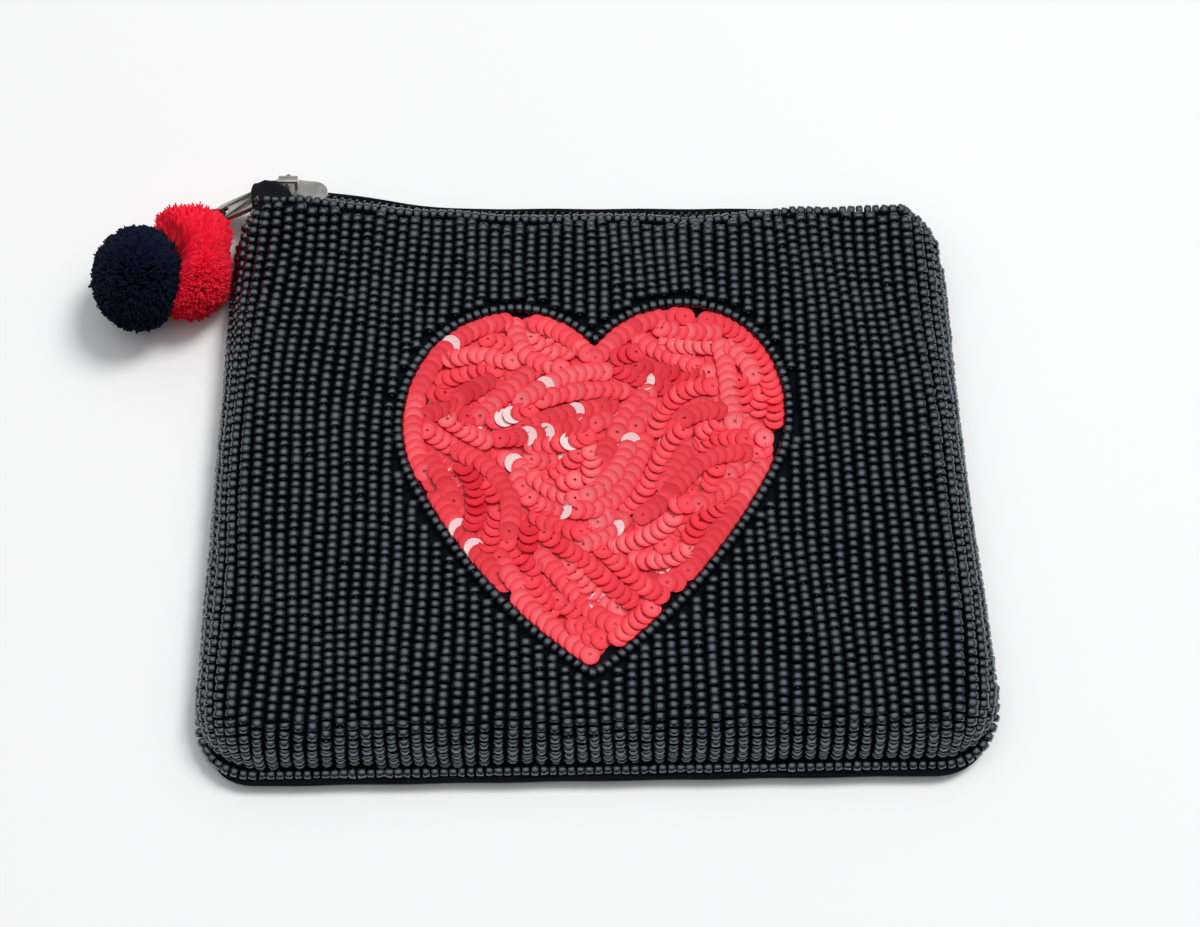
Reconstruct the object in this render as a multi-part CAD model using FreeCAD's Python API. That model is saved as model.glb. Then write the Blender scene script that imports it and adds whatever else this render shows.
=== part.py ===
import FreeCAD, Part
import math
import os

os.makedirs("parts", exist_ok=True)

Vector = FreeCAD.Vector

# Beaded zip pouch that lies on its back. X runs along the zip, Y points up the
# front towards the zip and Z points out of the beaded front. The origin is the
# middle of the back's flat rest face.

# Pouch outline
pouch_width_top = 119.8
pouch_width_bottom = 126.2
pouch_height = 106.4
pouch_lean_left = 1.2
right_side_shorter = 2.0
back_corner_top = 4.0
back_corner_bottom = 8.0
front_corner = 9.0

# Back panel
back_cloth = 0.8
back_lining_cloth = 0.3
seam_height = 2.4
seam_allowance = 5.2
seam_cloth = 0.5
back_edge_round = 1.6
back_hem_height = 3.1
back_hem_end_setback = 9.0

# Front panel and its beadwork
front_cloth = 0.6
front_lining_cloth = 0.3
front_roll = 5.8
front_step_at_bottom = 3.6
hem_roll = 3.0
bead_layer = 2.0
bead_column = 2.1
groove_width = 1.2
groove_depth = 0.9
bead_side_setback = 0.4
bead_bottom_setback = 0.8
bead_hem_setback = 0.8
lining_hem_setback = 3.2
strand_bead = 2.0
hem_bead = 1.9
strand_above_seam = 1.6
hem_strand_past_cloth = 0.3
hem_strand_end_setback = 1.6
layer_gap = 0.1

# Heart
heart_half_width = 31.6
heart_depth = 62.4
heart_middle_y = -4.6
heart_notch_depth = 7.2
heart_centre_x = 0.0
heart_lobe_x_share = 0.45
heart_shoulder_x_share = 0.9
heart_shoulder_y_share = 0.125
heart_wide_y_share = 0.27
heart_flank_top_x_share = 0.935
heart_flank_top_y_share = 0.455
heart_flank_x_share = 0.62
heart_flank_y_share = 0.705
heart_outline_bead = 1.9
sequin_layer = 0.9

# Zip
zip_tilt = 22.0
tape_cloth = 0.5
tape_reach_front = 4.9
tape_reach_back = 3.9
tape_gap = 1.8
tape_back_margin = 0.2
tape_seat = 0.3
tape_corner_length = 9.0
tape_corner_depth = 1.1
hem_overlap = 0.35
hem_seat = 0.25
zip_left_setback = 4.7
zip_right_setback = 0.2
coil_half_width = 2.0
coil_spine = 0.9
coil_height = 1.35
coil_pitch = 1.3
coil_mesh = 0.45
coil_clearance = 0.1
coil_seat = 0.05
tack_length = 0.7
tack_height = 0.2
tack_half_width = 1.6
tab_cloth = 0.5
tab_height = 1.8
tab_length = 8.2
tab_round = 1.0
tab_past_tape = 3.2
tab_to_slider = 0.3

# Slider
slider_length = 8.4
slider_front_half_width = 3.3
slider_rear_half_width = 2.9
slider_shoulder = 3.0
slider_plate = 0.8
slider_rim = 0.6
slider_channel_above = 1.95
slider_channel_below = 0.45
slider_tape_slot = 0.45
slider_post_length = 2.0
slider_post_width = 1.2
slider_post_setback = 0.6
slider_from_corner = 10.1
bail_span = 3.5
bail_wire = 0.7
bail_width = 1.6
hinge_bar = 1.0
hinge_above_plate = 1.55
hinge_clearance = 0.3

# Pull tab
pull_width = 4.6
pull_plate = 0.8
pull_window = 3.0
pull_arm = 0.8
pull_length = 15.4
pull_eye = 2.0
pull_eye_bar = 1.0
loop_cord = 0.8
loop_ring = 2.6
loop_knot = 2.2
knot_rest_height = 1.5

# Pom-poms
red_pom = 13.6
black_pom = 15.2
red_pom_from_top = 18.6
black_pom_from_top = 20.2
red_pom_from_edge = 10.4
red_pom_reach_to_black = 3.6
black_pom_reach_to_red = 5.9
pom_gap = 0.3
red_press_reach = 3.5
red_press_x_share = 0.787
red_press_z_share = -0.617
pom_cord = 0.8
pom_cord_start = 2.0
red_cord_entry = 3.0
black_cord_entry = 4.6
pom_tie = 2.0
pom_cord_fit = 0.05
cut_overrun = 40.0

# Places that follow from the sizes above
top_y = pouch_height / 2
bottom_y = -pouch_height / 2
left_top_x = -pouch_width_top / 2 - pouch_lean_left
right_top_x = pouch_width_top / 2 - pouch_lean_left
left_bottom_x = -pouch_width_bottom / 2
right_bottom_x = pouch_width_bottom / 2
tilt = math.radians(zip_tilt)
tilt_cos = math.cos(tilt)
tilt_sin = math.sin(tilt)
zip_y = top_y - tape_back_margin - tape_reach_back * tilt_cos
zip_z = back_hem_height + tape_seat + tape_cloth / 2 * tilt_cos + tape_reach_back * tilt_sin
hem_y = zip_y - tape_reach_front * tilt_cos + hem_overlap
tape_front_top = zip_z + tape_reach_front * tilt_sin + tape_cloth / 2 * tilt_cos
hem_drop = front_roll - math.sqrt(front_roll ** 2 - hem_roll ** 2)
heart_lobe_top = heart_middle_y + heart_depth / 2
front_top = tape_front_top + hem_seat + front_cloth + hem_drop
outline_corners = [
    (left_top_x, top_y),
    (right_top_x, top_y),
    (right_bottom_x, bottom_y + right_side_shorter),
    (left_bottom_x, bottom_y),
]


def left_edge(y):
    share = (y - bottom_y) / pouch_height
    return left_bottom_x + (left_top_x - left_bottom_x) * share


def inset_corners(insets):
    # Corners of the outline with its top, right, bottom and left sides moved in.
    lines = []
    for number, inset in enumerate(insets):
        ax, ay = outline_corners[number]
        bx, by = outline_corners[(number + 1) % len(outline_corners)]
        length = math.hypot(bx - ax, by - ay)
        dx = (bx - ax) / length
        dy = (by - ay) / length
        lines.append((ax + dy * inset, ay - dx * inset, dx, dy))
    corners = []
    for number in range(len(lines)):
        px, py, pdx, pdy = lines[number - 1]
        qx, qy, qdx, qdy = lines[number]
        across = pdx * qdy - pdy * qdx
        along = ((qx - px) * qdy - (qy - py) * qdx) / across
        corners.append((px + pdx * along, py + pdy * along))
    return corners


def rounded_edges(corners, radii, z):
    # Arc and line edges round the corners, starting with the first corner's arc.
    count = len(corners)
    starts = []
    ends = []
    middles = []
    for number in range(count):
        cx, cy = corners[number]
        here = Vector(cx, cy, z)
        before = Vector(*corners[number - 1], z) - here
        after = Vector(*corners[(number + 1) % count], z) - here
        before.normalize()
        after.normalize()
        half = before.getAngle(after) / 2
        reach = radii[number] / math.tan(half)
        inward = before + after
        inward.normalize()
        starts.append(here + before * reach)
        ends.append(here + after * reach)
        middles.append(here + inward * (radii[number] / math.sin(half) - radii[number]))
    edges = []
    for number in range(count):
        edges.append(Part.Arc(starts[number], middles[number], ends[number]).toShape())
        edges.append(Part.LineSegment(ends[number], starts[(number + 1) % count]).toShape())
    return edges


def prism(insets, radii, low, high):
    wire = Part.Wire(rounded_edges(inset_corners(insets), radii, low))
    return Part.Face(wire).extrude(Vector(0, 0, high - low))


def edges_at(shape, z):
    found = []
    for edge in shape.Edges:
        box = edge.BoundBox
        if abs(box.ZMin - z) < layer_gap / 10 and abs(box.ZMax - z) < layer_gap / 10:
            found.append(edge)
    return found


def front_dome(depth):
    # The front's rounded form, a given depth below the cloth's outer face.
    insets = (top_y - hem_y - hem_roll + depth, depth, front_step_at_bottom + depth, depth)
    body = prism(insets, [front_corner - depth] * 4, seam_height, front_top - depth)
    return body.makeFillet(front_roll - depth, edges_at(body, front_top - depth))


def behind_plane(shape, y):
    # The part of a shape below a plane across Y.
    reach = pouch_width_bottom + cut_overrun
    keep = Part.makeBox(reach * 2, reach * 2, reach * 2, Vector(-reach, y - reach * 2, -reach))
    return shape.common(keep)


def zip_place(shape):
    # From zip coordinates (along, across towards the back, out) to the pouch.
    placed = shape.copy()
    placed.Placement = FreeCAD.Placement(
        Vector(0, zip_y, zip_z), FreeCAD.Rotation(Vector(1, 0, 0), -zip_tilt)
    )
    return placed


def zip_point(along, across, out):
    y = zip_y + across * tilt_cos + out * tilt_sin
    z = zip_z - across * tilt_sin + out * tilt_cos
    return Vector(along, y, z)


def block(low_x, high_x, low_y, high_y, low_z, high_z):
    return Part.makeBox(high_x - low_x, high_y - low_y, high_z - low_z, Vector(low_x, low_y, low_z))


def rod(start, end, radius):
    return Part.makeCylinder(radius, (end - start).Length, start, end - start)


def keep(name, shape):
    shape.exportStep("parts/" + name + ".step")


# Back panel: a shallow tray of cloth with its seam allowance turned in
back_radii = [back_corner_top, back_corner_top, back_corner_bottom, back_corner_bottom]
back_outer = prism((0, 0, 0, 0), back_radii, 0, seam_height)
back_outer = back_outer.makeFillet(back_edge_round, edges_at(back_outer, 0))
inner_radii = [radius - back_cloth for radius in back_radii]
inside = [back_cloth] * 4
back_hollow = prism(inside, inner_radii, back_cloth, seam_height - seam_cloth)
mouth_insets = (back_cloth, seam_allowance, seam_allowance, seam_allowance)
mouth_radii = [inner_radii[0], inner_radii[0], inner_radii[2], inner_radii[2]]
back_mouth = prism(mouth_insets, mouth_radii, seam_height - seam_cloth, seam_height)
back_hem = block(
    left_top_x + back_hem_end_setback,
    right_top_x - back_hem_end_setback,
    top_y - back_cloth,
    top_y,
    seam_height,
    back_hem_height,
)
back_panel = back_outer.cut(back_hollow).cut(back_mouth).fuse(back_hem).removeSplitter()
keep("back_panel", back_panel)

# Back lining: a flat sheet on the inside of the back
lining_inset = back_cloth + layer_gap + back_edge_round
lining_radii = [radius + layer_gap for radius in back_radii]
lining_low = back_cloth + layer_gap / 2
back_lining = prism(
    (seam_allowance + back_cloth, lining_inset, lining_inset, lining_inset),
    lining_radii,
    lining_low,
    lining_low + back_lining_cloth,
)
keep("back_lining", back_lining)

# Front panel: the base cloth that carries the beads, open at the mouth
front_panel = behind_plane(front_dome(0).cut(front_dome(front_cloth)), hem_y)
keep("front_panel", front_panel)

# Front lining: a thin sheet inside the base cloth
lining_depth = front_cloth + layer_gap
front_lining = front_dome(lining_depth).cut(front_dome(lining_depth + front_lining_cloth))
front_lining = behind_plane(front_lining, hem_y - lining_hem_setback)
front_lining.translate(Vector(0, 0, layer_gap / 2))
keep("front_lining", front_lining)


# Heart outline, drawn from the notch round one lobe to the tip and back
def heart_point(x_share, y_share, side):
    return Vector(
        heart_centre_x + side * heart_half_width * x_share,
        heart_lobe_top - heart_depth * y_share,
        0,
    )


def heart_wire():
    notch = Vector(heart_centre_x, heart_lobe_top - heart_notch_depth, 0)
    tip = heart_point(0, 1, 1)
    edges = []
    for side in (1, -1):
        lobe = heart_point(heart_lobe_x_share, 0, side)
        shoulder = heart_point(heart_shoulder_x_share, heart_shoulder_y_share, side)
        wide = heart_point(1, heart_wide_y_share, side)
        flank_top = heart_point(heart_flank_top_x_share, heart_flank_top_y_share, side)
        flank = heart_point(heart_flank_x_share, heart_flank_y_share, side)
        half = [
            Part.Arc(notch, lobe, shoulder).toShape(),
            Part.Arc(shoulder, wide, flank_top).toShape(),
            Part.Arc(flank_top, flank, tip).toShape(),
        ]
        edges += half if side > 0 else half[::-1]
    return Part.Wire(Part.__sortEdges__(edges))


def heart_prism(outset, low, high):
    wire = heart_wire()
    if outset:
        wire = wire.makeOffset2D(outset, 0)
    solid = Part.Face(wire).extrude(Vector(0, 0, high - low))
    solid.translate(Vector(0, 0, low))
    return solid


# Bead field: the bead layer on the base cloth, grooved into columns of beads over
# its flat part, with the heart left out
bead_low = layer_gap / 2
bead_skin = front_dome(-bead_low - bead_layer).cut(front_dome(-bead_low))
bead_insets = (
    top_y - hem_y + bead_hem_setback,
    bead_side_setback,
    front_step_at_bottom + bead_bottom_setback,
    bead_side_setback,
)
bead_corner = [front_corner - bead_side_setback] * 4
bead_top_corner = front_corner - hem_roll
bead_radii = [bead_top_corner, bead_top_corner, bead_corner[2], bead_corner[3]]
bead_block = prism(bead_insets, bead_radii, seam_height, front_top + cut_overrun)
field_base = front_top + bead_low
field_top = field_base + bead_layer
heart_opening = heart_prism(heart_outline_bead + layer_gap * 2, seam_height, field_top + cut_overrun)
groove_count = 2 * int((pouch_width_top / 2 - front_roll) / bead_column)
groove_flare = groove_width / 2 * (groove_depth + layer_gap) / groove_depth
grooves = []
for number in range(groove_count):
    groove_x = (number - (groove_count - 1) / 2) * bead_column
    groove_points = [
        Vector(groove_x - groove_flare, bottom_y, field_top + layer_gap),
        Vector(groove_x, bottom_y, field_top - groove_depth),
        Vector(groove_x + groove_flare, bottom_y, field_top + layer_gap),
    ]
    groove_points.append(groove_points[0])
    groove_end = Part.Face(Part.makePolygon(groove_points))
    grooves.append(groove_end.extrude(Vector(0, pouch_height, 0)))
bead_field = bead_skin.common(bead_block).cut(heart_opening).cut(grooves)
keep("bead_field", bead_field)

# Heart: the sequin layer, and the single row of beads round it
heart_sequins = heart_prism(0, field_base, field_base + sequin_layer)
keep("heart_sequins", heart_sequins)
row_outer = heart_prism(heart_outline_bead + layer_gap, field_base, field_base + heart_outline_bead)
row_inner = heart_prism(layer_gap, field_base - layer_gap, field_base + heart_outline_bead + layer_gap)
keep("heart_bead_outline", row_outer.cut(row_inner))

# Edge strand: a row of beads along the left side, the bottom and the right side
strand_radius = strand_bead / 2
strand_z = seam_height + strand_above_seam
roll_low = front_top - front_roll
wall_in = front_roll - math.sqrt(front_roll ** 2 - max(strand_z - roll_low, 0) ** 2)
strand_out = strand_radius + layer_gap - wall_in
strand_insets = (
    top_y - hem_y - hem_roll - strand_out,
    -strand_out,
    front_step_at_bottom - strand_out,
    -strand_out,
)
strand_edges = rounded_edges(inset_corners(strand_insets), [front_corner + strand_out] * 4, strand_z)
strand_path = Part.Wire(strand_edges[2:] + strand_edges[:1])
strand_start = strand_path.Edges[0].Curve.value(strand_path.Edges[0].FirstParameter)
strand_heading = strand_path.Edges[0].tangentAt(strand_path.Edges[0].FirstParameter)
strand_ring = Part.Wire(Part.makeCircle(strand_radius, strand_start, strand_heading))
edge_strand = behind_plane(strand_path.makePipeShell([strand_ring], True, False), hem_y - bead_hem_setback)
keep("edge_bead_strand", edge_strand)

# Hem strand: a straight row of beads on the edge of the mouth
hem_radius = hem_bead / 2
hem_strand_y = hem_y + hem_strand_past_cloth
hem_strand_z = front_top - hem_drop + hem_radius + layer_gap
corner_drop = front_corner - hem_roll
corner_reach = math.sqrt(front_corner ** 2 - corner_drop ** 2)
hem_left_x = left_top_x + front_corner - corner_reach + hem_strand_end_setback
hem_right_x = right_top_x - front_corner + corner_reach - hem_strand_end_setback
hem_strand = rod(
    Vector(hem_left_x, hem_strand_y, hem_strand_z),
    Vector(hem_right_x, hem_strand_y, hem_strand_z),
    hem_radius,
)
keep("hem_bead_strand", hem_strand)

# Zip tapes: two flat bands that slope from the hem down to the back
tape_left_x = left_top_x + zip_left_setback
tape_right_x = right_top_x - zip_right_setback
tape_half = tape_cloth / 2
tape_inner = tape_gap / 2
tape_front_points = [
    Vector(tape_left_x, -tape_inner, -tape_half),
    Vector(tape_right_x, -tape_inner, -tape_half),
    Vector(tape_right_x, tape_corner_depth - tape_reach_front, -tape_half),
    Vector(tape_right_x - tape_corner_length, -tape_reach_front, -tape_half),
    Vector(tape_left_x + tape_corner_length, -tape_reach_front, -tape_half),
    Vector(tape_left_x, tape_corner_depth - tape_reach_front, -tape_half),
    Vector(tape_left_x, -tape_inner, -tape_half),
]
tape_front = Part.Face(Part.makePolygon(tape_front_points)).extrude(Vector(0, 0, tape_cloth))
tape_back = block(tape_left_x, tape_right_x, tape_inner, tape_reach_back, -tape_half, tape_half)
keep("zip_tape_front", zip_place(tape_front))
keep("zip_tape_back", zip_place(tape_back))

# Zip coils: two combs whose teeth mesh on the middle line
slider_x = left_top_x + slider_from_corner
slider_left_x = slider_x - slider_length / 2
slider_right_x = slider_x + slider_length / 2
post_left_x = slider_left_x + slider_post_setback
post_right_x = post_left_x + slider_post_length
coil_left_x = post_right_x + tab_to_slider
coil_right_x = tape_right_x - tack_length - coil_pitch
coil_low = tape_half + coil_seat
coil_high = coil_low + coil_height
coil_tooth = coil_pitch / 2 - coil_clearance
tooth_count = int((coil_right_x - coil_left_x) / coil_pitch)


def coil_comb(side):
    # One comb as an outline in the zip's plane, teeth towards the middle line.
    lag = 0 if side < 0 else coil_pitch / 2
    tooth_base = side * (coil_half_width - coil_spine)
    tooth_tip = -side * coil_mesh
    spine_edge = side * coil_half_width
    points = [Vector(coil_left_x, spine_edge, coil_low), Vector(coil_left_x, tooth_base, coil_low)]
    for number in range(tooth_count):
        left = coil_left_x + coil_clearance / 2 + lag + number * coil_pitch
        right = left + coil_tooth
        points.append(Vector(left, tooth_base, coil_low))
        points.append(Vector(left, tooth_tip, coil_low))
        points.append(Vector(right, tooth_tip, coil_low))
        points.append(Vector(right, tooth_base, coil_low))
    end_x = coil_left_x + (tooth_count + 1) * coil_pitch
    points.append(Vector(end_x, tooth_base, coil_low))
    points.append(Vector(end_x, spine_edge, coil_low))
    points.append(points[0])
    return Part.Face(Part.makePolygon(points)).extrude(Vector(0, 0, coil_height))


keep("zip_coil_front", zip_place(coil_comb(-1)))
keep("zip_coil_back", zip_place(coil_comb(1)))

# Thread tacks across both tapes at the zip's ends
tack_low = tape_half + coil_seat


def thread_tack(low_x):
    high_x = low_x + tack_length
    high = tack_low + tack_height
    return zip_place(block(low_x, high_x, -tack_half_width, tack_half_width, tack_low, high))


keep("zip_tack_left", thread_tack(tape_left_x))
keep("zip_tack_right", thread_tack(tape_right_x - tack_length))


# Tape ends: each turned up on edge between the hem and the slider's path
def end_tab(low_x, high_x):
    far = -slider_front_half_width - tab_to_slider
    low = tape_half + layer_gap
    tab = block(low_x, high_x, far - tab_cloth, far, low, low + tab_height)
    corners = []
    for edge in tab.Edges:
        box = edge.BoundBox
        if box.ZMin > tab_height / 2 and box.YLength > tab_cloth / 2:
            corners.append(edge)
    return zip_place(tab.makeFillet(tab_round, corners))


keep("zip_end_left", end_tab(tape_left_x - tab_past_tape, tape_left_x - tab_past_tape + tab_length))
keep("zip_end_right", end_tab(tape_right_x + tab_round - tab_length, tape_right_x + tab_round))


# Slider: two plates joined by a post, with rims that hold the coil
def slider_outline(half_front, half_rear, z):
    points = [
        Vector(slider_left_x, -half_front, z),
        Vector(slider_left_x + slider_shoulder, -half_front, z),
        Vector(slider_right_x - half_rear, -half_rear, z),
    ]
    tail = Part.Arc(points[2], Vector(slider_right_x, 0, z), Vector(points[2].x, half_rear, z)).toShape()
    back_points = [
        Vector(points[2].x, half_rear, z),
        Vector(slider_left_x + slider_shoulder, half_front, z),
        Vector(slider_left_x, half_front, z),
        points[0],
    ]
    return Part.Wire(Part.makePolygon(points).Edges + [tail] + Part.makePolygon(back_points).Edges)


def slider_slab(inset, low, high):
    wire = slider_outline(slider_front_half_width - inset, slider_rear_half_width - inset, low)
    return Part.Face(wire).extrude(Vector(0, 0, high - low))


plate_top = slider_channel_above + slider_plate
lower_plate = slider_slab(0, -slider_channel_below - slider_plate, -slider_channel_below)
upper_plate = slider_slab(0, slider_channel_above, plate_top)
rim_block = slider_slab(0, slider_tape_slot, slider_channel_above)
rim_hollow = slider_slab(slider_rim, slider_tape_slot, slider_channel_above)
rim_ends = block(
    slider_right_x - slider_rear_half_width,
    slider_right_x + cut_overrun,
    -slider_front_half_width,
    slider_front_half_width,
    slider_tape_slot,
    slider_channel_above,
)
rim_mouth = block(
    slider_left_x - cut_overrun,
    slider_left_x + slider_rim,
    slider_rim - slider_front_half_width,
    slider_front_half_width - slider_rim,
    slider_tape_slot,
    slider_channel_above,
)
rims = rim_block.cut(rim_hollow).cut(rim_ends).cut(rim_mouth)
post = block(
    post_left_x,
    post_right_x,
    -slider_post_width / 2,
    slider_post_width / 2,
    -slider_channel_below,
    slider_channel_above,
)
slider_body = lower_plate.fuse([upper_plate, rims, post]).removeSplitter()
keep("slider_body", zip_place(slider_body))

# Bail: a small bridge on the slider that traps the pull's hinge bar
hinge_x = slider_left_x + bail_wire + hinge_clearance + hinge_bar / 2
hinge_out = plate_top + hinge_above_plate
bail_under = hinge_out + hinge_bar / 2 + hinge_clearance
bail_outer = block(
    slider_left_x,
    slider_left_x + bail_span,
    -bail_width / 2,
    bail_width / 2,
    plate_top,
    bail_under + bail_wire,
)
bail_inner = block(
    slider_left_x + bail_wire,
    slider_left_x + bail_span - bail_wire,
    -bail_width,
    bail_width,
    plate_top,
    bail_under,
)
keep("slider_bail", zip_place(bail_outer.cut(bail_inner)))

# Pull tab: a hinge bar, two arms and a flat tab with an eye, resting over the end
hinge_point = zip_point(hinge_x, 0, hinge_out)
loop_reach = pull_length - pull_eye_bar / 2
knot_reach = loop_reach + loop_ring / 2 + loop_knot / 2 - loop_cord / 2
pull_drop = math.asin((hinge_point.z - knot_rest_height) / (knot_reach * tilt_cos))
pull_half = pull_width / 2
bar = Part.makeCylinder(hinge_bar / 2, pull_width, Vector(0, -pull_half, 0), Vector(0, 1, 0))
plate_half = pull_plate / 2
tab = block(0, pull_length, -pull_half, pull_half, -plate_half, plate_half)
tab_ends = []
for edge in tab.Edges:
    if edge.BoundBox.XMin > pull_window and edge.BoundBox.ZLength > plate_half:
        tab_ends.append(edge)
tab = tab.makeFillet(pull_half - pull_eye_bar, tab_ends)
window = block(
    -hinge_bar, pull_window, pull_arm - pull_half, pull_half - pull_arm, -cut_overrun, cut_overrun
)
eye_x = pull_length - pull_eye_bar - pull_eye / 2
eye = Part.makeCylinder(pull_eye / 2, pull_plate * 2, Vector(eye_x, 0, -pull_plate), Vector(0, 0, 1))
pull_tab = tab.cut(window).cut(eye).fuse(bar).removeSplitter()


def pull_place(shape):
    # From the pull's own run, along +X from its hinge, to where it rests.
    placed = shape.copy()
    turned = FreeCAD.Placement(
        Vector(hinge_x, 0, hinge_out), FreeCAD.Rotation(Vector(0, 1, 0), 180 - math.degrees(pull_drop))
    )
    slope = FreeCAD.Placement(
        Vector(0, zip_y, zip_z), FreeCAD.Rotation(Vector(1, 0, 0), -zip_tilt)
    )
    placed.Placement = slope.multiply(turned)
    return placed


keep("pull_tab", pull_place(pull_tab))

# Cord loop: a ring of cord through the pull's eye, closed by a knot
loop_section = Part.makeCircle(loop_cord / 2, Vector(loop_reach - loop_ring / 2, 0, 0), Vector(0, 0, 1))
loop = Part.Face(Part.Wire(loop_section)).revolve(Vector(loop_reach, 0, 0), Vector(0, 1, 0), 360)
knot = Part.makeSphere(loop_knot / 2, Vector(knot_reach, 0, 0))
keep("pull_cord_loop", pull_place(loop.fuse(knot).removeSplitter()))
knot_point = zip_point(
    hinge_x - knot_reach * math.cos(pull_drop), 0, hinge_out - knot_reach * math.sin(pull_drop)
)

# Pom-poms: two yarn balls on the table, pressed flat where they meet
red_y = top_y - red_pom_from_top
black_y = top_y - black_pom_from_top
red_radius = red_pom / 2
black_radius = black_pom / 2
red_x = left_edge(red_y) - red_pom_from_edge
black_x = red_x - red_pom_reach_to_black - pom_gap - black_pom_reach_to_red
red_centre = Vector(red_x, red_y, red_radius)
black_centre = Vector(black_x, black_y, black_radius)
meeting_x = red_x - red_pom_reach_to_black


def pom_cord_solids(centre, entry, fit):
    # A cord from the knot into the ball, with a tied end inside.
    end = centre + Vector(0, entry, 0)
    heading = end - knot_point
    heading.normalize()
    start = knot_point + heading * pom_cord_start
    return rod(start, end, pom_cord / 2 + fit).fuse(Part.makeSphere(pom_tie / 2 + fit, end)).removeSplitter()


red_ball = Part.makeSphere(red_radius, red_centre)
red_far = block(
    meeting_x - cut_overrun, meeting_x, red_y - cut_overrun, red_y + cut_overrun, -cut_overrun, cut_overrun
)
press = block(
    red_press_reach, red_press_reach + cut_overrun, -cut_overrun, cut_overrun, -cut_overrun, cut_overrun
)
press.Placement = FreeCAD.Placement(
    red_centre,
    FreeCAD.Rotation(Vector(1, 0, 0), Vector(red_press_x_share, 0, red_press_z_share)),
)
red_ball = red_ball.cut(red_far).cut(press)
red_ball = red_ball.cut(pom_cord_solids(red_centre, red_cord_entry, pom_cord_fit))
keep("red_pompom", red_ball)
keep("red_pom_cord", pom_cord_solids(red_centre, red_cord_entry, 0))

black_ball = Part.makeSphere(black_radius, black_centre)
black_edge = meeting_x - pom_gap
black_far = block(
    black_edge,
    black_edge + cut_overrun,
    black_y - cut_overrun,
    black_y + cut_overrun,
    -cut_overrun,
    cut_overrun,
)
black_ball = black_ball.cut(black_far)
black_ball = black_ball.cut(pom_cord_solids(black_centre, black_cord_entry, pom_cord_fit))
keep("black_pompom", black_ball)
keep("black_pom_cord", pom_cord_solids(black_centre, black_cord_entry, 0))

print("zip middle", round(zip_y, 3), round(zip_z, 3))
print("hem", round(hem_y, 3), "front top", round(front_top, 3))
print("slider from", round(slider_left_x, 2), "to", round(slider_right_x, 2))
print("hinge", hinge_point, "knot", knot_point, "pull drop", round(math.degrees(pull_drop), 3))
print("red", red_centre, "black", black_centre, "meeting", round(meeting_x, 3))
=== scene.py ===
import math
import random

import bmesh
import bpy
import numpy as np
from mathutils import Matrix, Vector


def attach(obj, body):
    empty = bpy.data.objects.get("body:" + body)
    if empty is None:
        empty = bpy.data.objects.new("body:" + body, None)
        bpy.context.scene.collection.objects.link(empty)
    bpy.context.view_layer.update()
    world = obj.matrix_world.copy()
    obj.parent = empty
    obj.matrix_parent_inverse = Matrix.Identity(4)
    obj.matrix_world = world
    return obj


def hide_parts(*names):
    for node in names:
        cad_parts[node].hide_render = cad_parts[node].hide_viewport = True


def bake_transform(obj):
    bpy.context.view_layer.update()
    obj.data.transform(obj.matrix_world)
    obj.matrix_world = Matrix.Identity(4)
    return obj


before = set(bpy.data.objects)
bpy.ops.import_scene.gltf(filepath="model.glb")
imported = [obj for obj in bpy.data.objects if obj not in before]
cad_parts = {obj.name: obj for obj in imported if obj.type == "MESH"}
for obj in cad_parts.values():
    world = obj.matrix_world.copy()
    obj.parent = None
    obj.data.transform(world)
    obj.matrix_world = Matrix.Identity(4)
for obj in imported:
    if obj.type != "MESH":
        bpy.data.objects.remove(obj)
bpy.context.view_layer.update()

mm = 0.001
scene = bpy.context.scene
scene.view_settings.view_transform = "Standard"
dice = random.Random(41)
rolls = np.random.default_rng(41)


# small tools shared by the pieces

def clearSelection():
    if bpy.context.mode != "OBJECT":
        bpy.ops.object.mode_set(mode="OBJECT")
    bpy.ops.object.select_all(action="DESELECT")


def pick(piece):
    clearSelection()
    piece.select_set(True)
    bpy.context.view_layer.objects.active = piece
    return piece


def applyAll(piece):
    pick(piece)
    for modifier in list(piece.modifiers):
        bpy.ops.object.modifier_apply(modifier=modifier.name)
    return piece


def smooth(piece, angle=40):
    pick(piece)
    bpy.ops.object.shade_smooth_by_angle(angle=math.radians(angle))
    return piece


def dress(piece, material):
    piece.data.materials.clear()
    piece.data.materials.append(material)
    return piece


def meshPiece(name, points, faces, material):
    data = bpy.data.meshes.new(name)
    data.from_pydata([tuple(p) for p in points], [], [tuple(f) for f in faces])
    data.update()
    piece = bpy.data.objects.new(name, data)
    scene.collection.objects.link(piece)
    smoothAll(piece)
    dress(piece, material)
    return piece


def setTint(piece, values):
    # one number per vertex that the material's colour ramp reads
    layer = piece.data.attributes.new("tint", "FLOAT", "POINT")
    layer.data.foreach_set("value", np.asarray(values, np.float32))


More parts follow.
